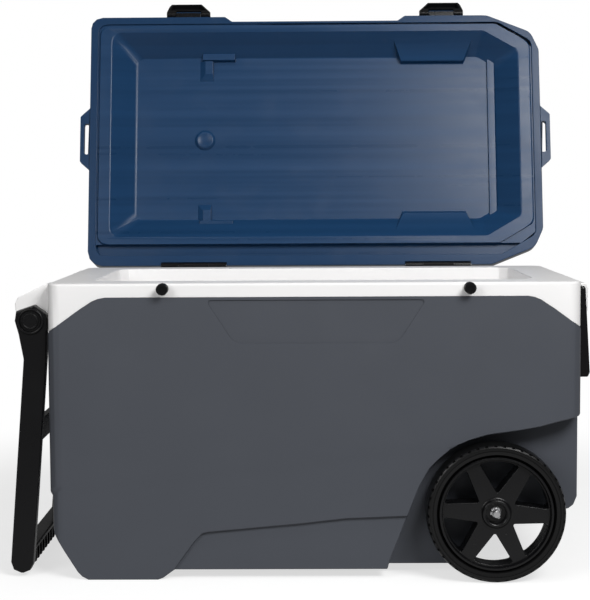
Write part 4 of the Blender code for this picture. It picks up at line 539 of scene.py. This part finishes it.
def make_tyre(end):
    """A moulded tyre: stepped sidewalls, and shoulder notches pressed in between the lugs."""
    band = TYRE_RADIUS - TYRE_BORE
    side = [(TYRE_BORE + share * band, depth * TYRE_HALF) for share, depth in SIDEWALL_STEPS]
    profile = side + [(radius, -depth) for radius, depth in reversed(side)]
    profile.append(profile[0])
    place = Matrix.Translation(JOINTS[f"wheel_{end}_axle"]) @ Matrix.Rotation(math.pi / 2, 4, "X")
    tyre = turned_piece(profile, TYRE_STEPS, place, closed=True)
    press_notches(tyre)
    added(tyre, "tyre_moulding_" + end, "wheel_" + end, TYRE_BLACK)
    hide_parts("tyre_" + end)


def press_notches(tyre):
    """Every third face of both shoulders goes in."""
    select_only(tyre)
    bpy.ops.object.mode_set(mode="EDIT")
    bpy.ops.mesh.select_mode(type="FACE")
    bpy.ops.mesh.select_all(action="DESELECT")
    shape = bmesh.from_edit_mesh(tyre.data)
    for face in shape.faces:
        middle = face.calc_center_median()
        radius = math.hypot(middle.x, middle.y)
        turn = int(math.atan2(middle.y, middle.x) / math.tau * TYRE_STEPS + TYRE_STEPS)
        shoulder = radius > TYRE_RADIUS * SHOULDER_START and abs(face.normal.z) > SHOULDER_SLOPE
        face.select_set(shoulder and turn % NOTCH_EVERY == 0)
    bmesh.update_edit_mesh(tyre.data)
    bpy.ops.mesh.extrude_region_shrink_fatten(TRANSFORM_OT_shrink_fatten={"value": -NOTCH_DEPTH})
    bpy.ops.object.mode_set(mode="OBJECT")


# Wheels: the outer side faces up while a wheel is drawn

SPOKES = 6
SPOKE_TURN = math.radians(-3.4)
SPOKE_HALF = 0.0189
SPOKE_TAPER = 0.0806
WINDOW_REACH = 0.0886
WINDOW_ROUND = 0.0030
TIP_STEPS = 8
CORNER_STEPS = 4
FAR_STEPS = 5
DISC_FRONT = 0.0180
DISC_BACK = -0.0200
HUB_START = 0.0275
DISH_EDGE = 0.0900
DISH_STEPS = 12
HUB_STEPS = 6
SPOKE_EDGE_ROUND = 0.0008
SPOKE_EDGE_STEPS = 3
SHARP_CORNER = 1
MARGIN = 1e-4
SAME_RADIUS = 1e-5
SAME_HEIGHT = 1e-6
POCKET = (0.0380, 0.0850)
POCKET_WALL = 0.0035
POCKET_DEPTH = 0.0330
RIM_RINGS = (
    (0.0908, 0.0205), (0.0914, 0.0240), (0.0918, 0.0257), (0.0924, 0.0264), (0.0932, 0.0265),
    (0.0946, 0.0265), (0.0956, 0.0262), (0.0962, 0.0255), (0.0964, 0.0244), (0.0964, -0.0250),
    (0.0956, -0.0265), (0.0930, -0.0265), (0.0918, -0.0256), (0.0914, -0.0204), (DISH_EDGE, DISC_BACK),
)
HUB_RINGS = (
    (0.0262, 0.0184), (0.0250, 0.0193), (0.0241, 0.0207), (0.0236, 0.0221), (0.0230, 0.0232),
    (0.0221, 0.0238), (0.0210, 0.0240), (0.0196, 0.0238), (0.0183, 0.0231), (0.0175, 0.0219),
    (0.0171, 0.0202), (0.0168, 0.0126), (0.0160, 0.0120), (0.0066, 0.0120), (0.0066, -0.0320),
    (0.0170, -0.0320), (0.0228, -0.0260), (0.0230, -0.0202), (HUB_START, DISC_BACK),
)
DIMPLE_PLACE = (0.0381, math.radians(-63.9))
DIMPLE_STEPS = 16
DIMPLE_PROFILE = ((0.0019, -0.0004), (0.0019, 0.0003), (0.0014, 0.0005), (0.0010, 0.0002), (0.0004, 0.0001))


def arc_corner(before, corner, after, radius, steps):
    """The points that round one corner of an outline."""
    back = (before - corner).normalized()
    onward = (after - corner).normalized()
    half = back.angle(onward) / 2
    centre = corner + (back + onward).normalized() * (radius / math.sin(half))
    start = corner + back * (radius / math.tan(half))
    end = corner + onward * (radius / math.tan(half))
    points = []
    for step in range(steps + 1):
        out = start.lerp(end, step / steps) - centre
        points.append(centre + out.normalized() * radius)
    return points


def window_side():
    """One side of a window, from its tip out to the middle of its far side, beside a spoke along X."""
    half_turn = math.pi / SPOKES
    middle = Vector((math.cos(half_turn), math.sin(half_turn)))
    tip_reach = SPOKE_HALF / (math.tan(half_turn) + SPOKE_TAPER)
    tip = Vector((tip_reach, SPOKE_HALF - SPOKE_TAPER * tip_reach))
    reach = math.sqrt(WINDOW_REACH ** 2 - (SPOKE_HALF - SPOKE_TAPER * WINDOW_REACH) ** 2)
    corner = Vector((reach, SPOKE_HALF - SPOKE_TAPER * reach))
    mirrored = middle * (2 * corner.dot(middle)) - corner
    start = math.atan2(corner.y, corner.x)
    far = []
    for step in range(1, FAR_STEPS + 1):
        angle = start + (half_turn - start) * step / FAR_STEPS
        far.append(Vector((math.cos(angle), math.sin(angle))) * WINDOW_REACH)
    line = arc_corner(mirrored, tip, corner, WINDOW_ROUND, TIP_STEPS)[TIP_STEPS // 2:]
    line += arc_corner(tip, corner, far[0], WINDOW_ROUND, CORNER_STEPS)
    return [middle * HUB_START] + line + far + [middle * DISH_EDGE], half_turn


def ring_points(radius, start, end, steps):
    """Points on a circle between two angles, without the two ends."""
    turns = [start + (end - start) * step / steps for step in range(1, steps)]
    return [Vector((math.cos(turn), math.sin(turn))) * radius for turn in turns]


def flipped(points):
    """The same points on the other side of the X axis, in the opposite order."""
    return [Vector((point.x, -point.y)) for point in reversed(points)]


def draw_faces(outlines, height):
    """Flat faces with these outlines, added to the mesh in edit mode and repeated round the hub."""
    for outline in outlines:
        bpy.ops.mesh.select_all(action="DESELECT")
        bpy.ops.mesh.primitive_circle_add(vertices=len(outline), fill_type="NGON")
        shape = bmesh.from_edit_mesh(bpy.context.object.data)
        drawn = next(face for face in shape.faces if face.select)
        for vert, point in zip(drawn.verts, outline):
            vert.co = (point.x, point.y, height)
        bmesh.update_edit_mesh(bpy.context.object.data)
    shape = bmesh.from_edit_mesh(bpy.context.object.data)
    for face in shape.faces:
        face.select_set(abs(face.calc_center_median().z - height) < SAME_HEIGHT)
    bmesh.update_edit_mesh(bpy.context.object.data)
    turn = math.tau / SPOKES
    bpy.ops.mesh.spin(steps=SPOKES - 1, dupli=True, angle=math.tau - turn, center=(0, 0, 0), axis=(0, 0, 1))


def pull_rings(start, rings):
    """Extrudes the selected loop of edges from one ring to the next."""
    radius, height = start
    for new_radius, new_height in rings:
        bpy.ops.mesh.extrude_edges_move(TRANSFORM_OT_translate={"value": (0, 0, new_height - height)})
        grow = new_radius / radius
        bpy.ops.transform.resize(value=(grow, grow, 1), center_override=(0, 0, new_height))
        radius, height = new_radius, new_height


def draw_wheel():
    """One moulding: rim, six spokes hollow at the back, and the hub with its recess."""
    side, half_turn = window_side()
    out_arc = ring_points(DISH_EDGE, half_turn, -half_turn, DISH_STEPS * 2)
    in_arc = ring_points(HUB_START, -half_turn, half_turn, HUB_STEPS * 2)
    inner, outer = POCKET
    pocket = [
        Vector((outer, 0)),
        Vector((outer, SPOKE_HALF - SPOKE_TAPER * outer - POCKET_WALL)),
        Vector((inner, SPOKE_HALF - SPOKE_TAPER * inner - POCKET_WALL)),
        Vector((inner, 0)),
    ]
    dish_middle = Vector((DISH_EDGE, 0))
    hub_middle = Vector((HUB_START, 0))
    back_half = side + out_arc[:DISH_STEPS - 1] + [dish_middle] + pocket + [hub_middle] + in_arc[HUB_STEPS:]
    bpy.ops.object.select_all(action="DESELECT")
    bpy.ops.mesh.primitive_circle_add(vertices=3)
    wheel = bpy.context.object
    bpy.ops.object.mode_set(mode="EDIT")
    bpy.ops.mesh.select_all(action="SELECT")
    bpy.ops.mesh.delete(type="VERT")
    draw_faces([side + out_arc + flipped(side) + in_arc], DISC_FRONT)
    draw_faces([back_half, flipped(back_half)], DISC_BACK)
    bpy.ops.mesh.select_all(action="SELECT")
    bpy.ops.mesh.remove_doubles(threshold=MERGE_NODES)
    bpy.ops.mesh.select_mode(type="EDGE")

    def radii(edge):
        return [math.hypot(vert.co.x, vert.co.y) for vert in edge.verts]

    def between_hub_and_dish(edge):
        found = radii(edge)
        return min(found) > HUB_START + MARGIN and max(found) < DISH_EDGE - MARGIN

    def loop_at(radius):
        def test(edge):
            near = all(abs(found - radius) < SAME_RADIUS for found in radii(edge))
            return edge.is_boundary and edge.verts[0].co.z > 0 and near

        return test

    def window_edge(edge):
        return edge.is_boundary and edge.verts[0].co.z > 0 and between_hub_and_dish(edge)

    pick_edges(wheel, window_edge)
    bpy.ops.mesh.extrude_edges_move(TRANSFORM_OT_translate={"value": (0, 0, DISC_BACK - DISC_FRONT)})
    pick_edges(wheel, loop_at(DISH_EDGE))
    pull_rings((DISH_EDGE, DISC_FRONT), RIM_RINGS)
    pick_edges(wheel, loop_at(HUB_START))
    pull_rings((HUB_START, DISC_FRONT), HUB_RINGS)
    bpy.ops.mesh.select_all(action="SELECT")
    bpy.ops.mesh.remove_doubles(threshold=MERGE_NODES)
    if pick_edges(wheel, lambda edge: edge.is_boundary):
        bpy.ops.mesh.extrude_edges_move(TRANSFORM_OT_translate={"value": (0, 0, POCKET_DEPTH)})
        bpy.ops.mesh.fill_holes(sides=0)
    bpy.ops.mesh.select_all(action="SELECT")
    bpy.ops.mesh.normals_make_consistent(inside=False)

    def spoke_edge(edge):
        in_front = min(edge.verts[0].co.z, edge.verts[1].co.z) > DISC_FRONT - SAME_RADIUS
        return in_front and between_hub_and_dish(edge) and edge.calc_face_angle(0) > SHARP_CORNER

    pick_edges(wheel, spoke_edge)
    bpy.ops.mesh.bevel(
        offset=SPOKE_EDGE_ROUND, segments=SPOKE_EDGE_STEPS, affect="EDGES", clamp_overlap=False,
    )
    bpy.ops.object.mode_set(mode="OBJECT")
    return wheel


def make_wheels():
    """The same moulding at both ends of the axle, each with a moulding mark beside its hub."""
    drawn = draw_wheel()
    rear_mesh = drawn.data.copy()
    distance, angle = DIMPLE_PLACE
    for end, turned in (("front", 0), ("rear", math.pi)):
        wheel = drawn
        if end == "rear":
            wheel = bpy.data.objects.new("wheel_rear_drawn", rear_mesh)
            bpy.context.scene.collection.objects.link(wheel)
        place = Matrix.Translation(JOINTS[f"wheel_{end}_axle"]) @ Matrix.Rotation(turned, 4, "Z")
        place = place @ Matrix.Rotation(math.pi / 2, 4, "X")
        wheel.matrix_world = place @ Matrix.Rotation(SPOKE_TURN, 4, "Z")
        added(wheel, "wheel_moulding_" + end, "wheel_" + end, WHEEL_BLACK, 30)
        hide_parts("wheel_" + end)
        spot = (distance * math.cos(angle), distance * math.sin(angle), DISC_FRONT)
        dot = turned_piece(DIMPLE_PROFILE, DIMPLE_STEPS, place @ Matrix.Translation(spot))
        added(dot, "wheel_ejector_dot_" + end, "wheel_" + end, WHEEL_BLACK)


# Lid details

RING_FACE = -0.0017
LUG_HEIGHT = 0.0050
LUG_ROUND = 0.0009
LUG_ROUND_STEPS = 3
LUG_ROOT = 0.0010
LUGS = (
    ("corner_lug_front_bar",
     ((-0.2320, 0.4300), (-0.1625, 0.4470)),
     ((-0.2300, 0.4325), (-0.1640, 0.4460)), 0.0100),
    ("corner_lug_front_leg",
     ((-0.2370, 0.3880), (-0.2080, 0.4320)),
     ((-0.2245, 0.4040), (-0.2095, 0.4310)), 0.0085),
    ("corner_lug_rear_bar",
     ((-0.2370, 0.0860), (-0.1660, 0.0990)),
     ((-0.2350, 0.0870), (-0.1675, 0.0975)), 0.0100),
    ("corner_lug_rear_leg",
     ((-0.2400, 0.0960), (-0.2110, 0.1330)),
     ((-0.2275, 0.0970), (-0.2125, 0.1190)), 0.0085),
)
BOSS_PLACE = (-0.2250, 0.2660)
BOSS_STEPS = 64
BOSS_PROFILE = (
    (0.0215, 0.0010), (0.0208, -0.0006), (0.0196, -0.0016), (0.0180, -0.0034), (0.0166, -0.0046),
    (0.0152, -0.0051), (0.0138, -0.0050), (0.0118, -0.0044), (0.0080, -0.0038), (0.0040, -0.0036),
    (0.0010, -0.0036),
)
EJECTOR_DOTS = ((0.4300, 0.4250), (0.4315, 0.3420), (0.4330, 0.2600), (0.4340, 0.1780))
DOT_STEPS = 20
DOT_PROFILE = ((0.0021, 0.0006), (0.0021, -0.0001), (0.0014, -0.0001), (0.0012, 0.0), (0.0004, 0.0))
STRIP = ((0.3520, 0.1020), (0.3665, 0.4340))


def lid_block(name, low, high):
    """A raised bar on the pan's floor, between two (x, v) corners."""
    low_corner = (low[0], -high[1], PAN_FLOOR - LUG_HEIGHT)
    high_corner = (high[0], -low[1], PAN_FLOOR + LUG_ROOT)
    bar = new_block(low_corner, high_corner, LUG_ROUND, LID_FRAME)
    return added(bar, name, "lid", PAN_NAVY)


def lid_wedge(name, foot, head, rise):
    """A lug: a foot between two (x, v) corners, drawn in to a smaller head at a rise off the floor."""
    low_corner = (foot[0][0], -foot[1][1], PAN_FLOOR - rise)
    high_corner = (foot[1][0], -foot[0][1], PAN_FLOOR + LUG_ROOT)
    bar = new_block(low_corner, high_corner, 0)
    for vert in bar.data.vertices:
        if vert.co.z < PAN_FLOOR - rise / 2:
            near_left = abs(vert.co.x - foot[0][0]) < abs(vert.co.x - foot[1][0])
            near_front = abs(-vert.co.y - foot[1][1]) < abs(-vert.co.y - foot[0][1])
            vert.co.x = head[0][0] if near_left else head[1][0]
            vert.co.y = -head[1][1] if near_front else -head[0][1]
    select_only(bar)
    bpy.ops.object.mode_set(mode="EDIT")
    bpy.ops.mesh.select_all(action="SELECT")
    bpy.ops.mesh.bevel(offset=LUG_ROUND, segments=LUG_ROUND_STEPS, affect="EDGES")
    bpy.ops.object.mode_set(mode="OBJECT")
    bar.matrix_world = LID_FRAME
    return added(bar, name, "lid", PAN_NAVY, 50)


def make_lid_details():
    """What stands on the pan's floor and on the bearing ring."""
    for name, foot, head, rise in LUGS:
        lid_wedge(name, foot, head, rise)
    lid_block("pan_strip", *STRIP)
    x, v = BOSS_PLACE
    place = LID_FRAME @ Matrix.Translation((x, -v, PAN_FLOOR))
    boss = turned_piece(BOSS_PROFILE, BOSS_STEPS, place)
    added(boss, "pan_boss", "lid", PAN_NAVY, 60)
    for number, (x, v) in enumerate(EJECTOR_DOTS):
        place = LID_FRAME @ Matrix.Translation((x, -v, RING_FACE))
        dot = turned_piece(DOT_PROFILE, DOT_STEPS, place)
        added(dot, f"ejector_dot_{number}", "lid", PAN_NAVY)


# Handle and latch details

LUG_BLOCK_HALF = 0.0249
LUG_BLOCK_SPAN = (0.5138, 0.5245)
LUG_BLOCK_DEPTH = (0.0040, 0.0110)
LUG_BLOCK_ROUND = 0.0006


def make_latch_blocks():
    """The black block behind each latch's pin, on the lid's front edge."""
    for side in ("left", "right"):
        pivot = JOINTS[f"latch_{side}_hinge"].x - JOINTS["lid_hinge"].x
        low = (pivot - LUG_BLOCK_HALF, -LUG_BLOCK_SPAN[1], LUG_BLOCK_DEPTH[0])
        high = (pivot + LUG_BLOCK_HALF, -LUG_BLOCK_SPAN[0], LUG_BLOCK_DEPTH[1])
        block = new_block(low, high, LUG_BLOCK_ROUND, LID_FRAME)
        added(block, "latch_block_" + side, "lid", HANDLE_BLACK)


BOSS_HEIGHT = 0.0020
RING_STEPS = 64
RING_PROFILE = (
    (0.0184, 0.0002), (0.0184, -0.0024), (0.0189, -0.0034), (0.0198, -0.0038), (0.0210, -0.0036),
    (0.0222, -0.0026), (0.0230, 0.0002), (0.0184, 0.0002),
)
NUT_TEETH = 3
NUT_TURN = 0.5
NUT_TOOTH_LOW = (-0.0022, -0.0012, 0.0070)
NUT_TOOTH_HIGH = (0.0022, 0.0008, 0.0100)
NUT_TOOTH_ROUND = 0.0003


def make_boss_rings():
    """A raised ring round each pivot's cap."""
    for side, end in ((-1, "front"), (1, "rear")):
        low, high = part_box("tow_arm_" + end)
        face = low.y + BOSS_HEIGHT if side < 0 else high.y - BOSS_HEIGHT
        pivot = JOINTS["tow_handle_hinge"]
        turn = Matrix.Rotation(side * math.pi / 2, 4, "X")
        place = Matrix.Translation((pivot.x, face, pivot.z)) @ turn
        ring = turned_piece(RING_PROFILE, RING_STEPS, place, closed=True)
        added(ring, "pivot_ring_" + end, "tow_handle", HANDLE_BLACK)


def make_nut_teeth():
    """The push nut's three sprung teeth, bent outwards round the axle."""
    for side, end in ((-1, "front"), (1, "rear")):
        low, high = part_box("push_nut_" + end)
        centre = (low + high) / 2
        face = low.y if side < 0 else high.y
        for tooth in range(NUT_TEETH):
            turn = Matrix.Rotation(math.tau * tooth / NUT_TEETH + NUT_TURN, 4, "Y")
            place = Matrix.Translation((centre.x, face, centre.z)) @ turn
            block = new_block(NUT_TOOTH_LOW, NUT_TOOTH_HIGH, NUT_TOOTH_ROUND, place)
            added(block, f"nut_tooth_{end}_{tooth}", "cooler", AXLE_STEEL)


make_mouldings()
make_wheels()
for end in ("front", "rear"):
    make_tyre(end)
make_lid_details()
make_latch_blocks()
make_boss_rings()
make_nut_teeth()


# Stage

FLOOR_SIZE = 60
FLOOR_GREY = 0.4
FLOOR_GLOW = 0.66
FLOOR_GLOSSY_SHARE = 0.35
FADE = (0.7, 1.6)


def make_floor():
    """A pale floor that keeps the shadow near the object and fades to white further out."""
    bpy.ops.object.select_all(action="DESELECT")
    bpy.ops.mesh.primitive_plane_add(size=FLOOR_SIZE, location=(0, 0, 0))
    floor = bpy.context.object
    floor.name = "floor"
    pale = bpy.data.materials.new("floor_pale")
    pale.use_nodes = True
    tree = pale.node_tree
    tree.nodes.clear()
    out = node(tree, "ShaderNodeOutputMaterial")
    diffuse = node(tree, "ShaderNodeBsdfDiffuse")
    diffuse.inputs["Color"].default_value = (FLOOR_GREY, FLOOR_GREY, FLOOR_GREY, 1)
    glow = node(tree, "ShaderNodeEmission")
    white = node(tree, "ShaderNodeEmission")
    path = node(tree, "ShaderNodeLightPath")
    seen = math_node(tree, "MAXIMUM", path.outputs["Is Camera Ray"], path.outputs["Is Transmission Ray"])
    glossy = math_node(tree, "MULTIPLY", path.outputs["Is Glossy Ray"], FLOOR_GLOSSY_SHARE)
    seen = math_node(tree, "MAXIMUM", seen, glossy)
    tree.links.new(math_node(tree, "MULTIPLY", seen, FLOOR_GLOW), glow.inputs["Strength"])
    tree.links.new(seen, white.inputs["Strength"])
    lit = node(tree, "ShaderNodeAddShader")
    tree.links.new(diffuse.outputs[0], lit.inputs[0])
    tree.links.new(glow.outputs[0], lit.inputs[1])
    place = node(tree, "ShaderNodeTexCoord")
    length = node(tree, "ShaderNodeVectorMath", operation="LENGTH")
    tree.links.new(place.outputs["Object"], length.inputs[0])
    fade = node(tree, "ShaderNodeMapRange", interpolation_type="SMOOTHSTEP")
    fade.inputs["From Min"].default_value = FADE[0]
    fade.inputs["From Max"].default_value = FADE[1]
    tree.links.new(length.outputs["Value"], fade.inputs["Value"])
    mix = node(tree, "ShaderNodeMixShader")
    tree.links.new(fade.outputs[0], mix.inputs[0])
    tree.links.new(lit.outputs[0], mix.inputs[1])
    tree.links.new(white.outputs[0], mix.inputs[2])
    tree.links.new(mix.outputs[0], out.inputs["Surface"])
    floor.data.materials.append(pale)


# The white surroundings: how bright mirrored surfaces see them, and how much they fill the shade
GLOSSY_SHARE = 0.12
FILL = 0.22
# Each lamp's name, place, aim, width, height and power
LAMPS = (
    ("lamp_key", (1.25, -2.3, 2.15), (0.1, 0, 0.55), 1.3, 1.0, 72),
    ("lamp_strip", (0.15, -0.9, 2.7), (0.1, -0.1, 0.3), 1.9, 0.25, 8),
    ("lamp_left", (-1.6, -2.4, 1.5), (-0.1, 0, 0.5), 1.2, 1.2, 24),
)
# The camera's pitch, yaw and roll, in degrees
CAMERA_TURNS = (4.4, -0.775, 0.32)
CAMERA_LENS = 93.42
CAMERA_SENSOR = 36
CAMERA_DISTANCE = 2.6
CAMERA_HEIGHT = 0.6775


def make_lamp(name, place, aim, width, height, power):
    lamp = bpy.data.lights.new(name, "AREA")
    lamp.shape = "RECTANGLE"
    lamp.size = width
    lamp.size_y = height
    lamp.energy = power
    obj = bpy.data.objects.new(name, lamp)
    obj.location = place
    obj.rotation_euler = (Vector(aim) - Vector(place)).to_track_quat("-Z", "Y").to_euler()
    bpy.context.scene.collection.objects.link(obj)


def make_light():
    """Three lamps in front of the object, and the white surroundings."""
    for lamp in LAMPS:
        make_lamp(*lamp)
    world = bpy.data.worlds.new("studio")
    bpy.context.scene.world = world
    world.use_nodes = True
    tree = world.node_tree
    sky = tree.nodes["Background"]
    path = node(tree, "ShaderNodeLightPath")
    seen = math_node(tree, "MAXIMUM", path.outputs["Is Camera Ray"], path.outputs["Is Transmission Ray"])
    glossy = math_node(tree, "MULTIPLY", path.outputs["Is Glossy Ray"], GLOSSY_SHARE)
    white = math_node(tree, "MAXIMUM", seen, glossy)
    others = math_node(tree, "SUBTRACT", 1.0, math_node(tree, "MAXIMUM", seen, path.outputs["Is Glossy Ray"]))
    fill = math_node(tree, "MULTIPLY", others, FILL)
    sky.inputs["Color"].default_value = (1, 1, 1, 1)
    tree.links.new(math_node(tree, "ADD", white, fill), sky.inputs["Strength"])


def make_camera():
    """The photograph's viewpoint: 2.6 m in front of the rim, a little above it, looking slightly down."""
    pitch, yaw, roll = (math.radians(angle) for angle in CAMERA_TURNS)
    forward = Vector((math.sin(yaw) * math.cos(pitch), math.cos(yaw) * math.cos(pitch), -math.sin(pitch)))
    right = Vector((math.cos(yaw), -math.sin(yaw), 0))
    up = right.cross(forward)
    turned_right = right * math.cos(roll) - up * math.sin(roll)
    turned_up = right * math.sin(roll) + up * math.cos(roll)
    lens = bpy.data.cameras.new("camera")
    lens.lens = CAMERA_LENS
    lens.sensor_width = CAMERA_SENSOR
    camera = bpy.data.objects.new("camera", lens)
    turn = Matrix((turned_right, turned_up, -forward)).transposed().to_4x4()
    in_front = -(SHELL_HIGH.y - SHELL_LOW.y) / 2 - CAMERA_DISTANCE
    camera.matrix_world = Matrix.Translation(at(0, in_front, CAMERA_HEIGHT)) @ turn
    bpy.context.scene.collection.objects.link(camera)
    bpy.context.scene.camera = camera


make_floor()
make_light()
make_camera()
bpy.context.scene.view_settings.view_transform = "Standard"
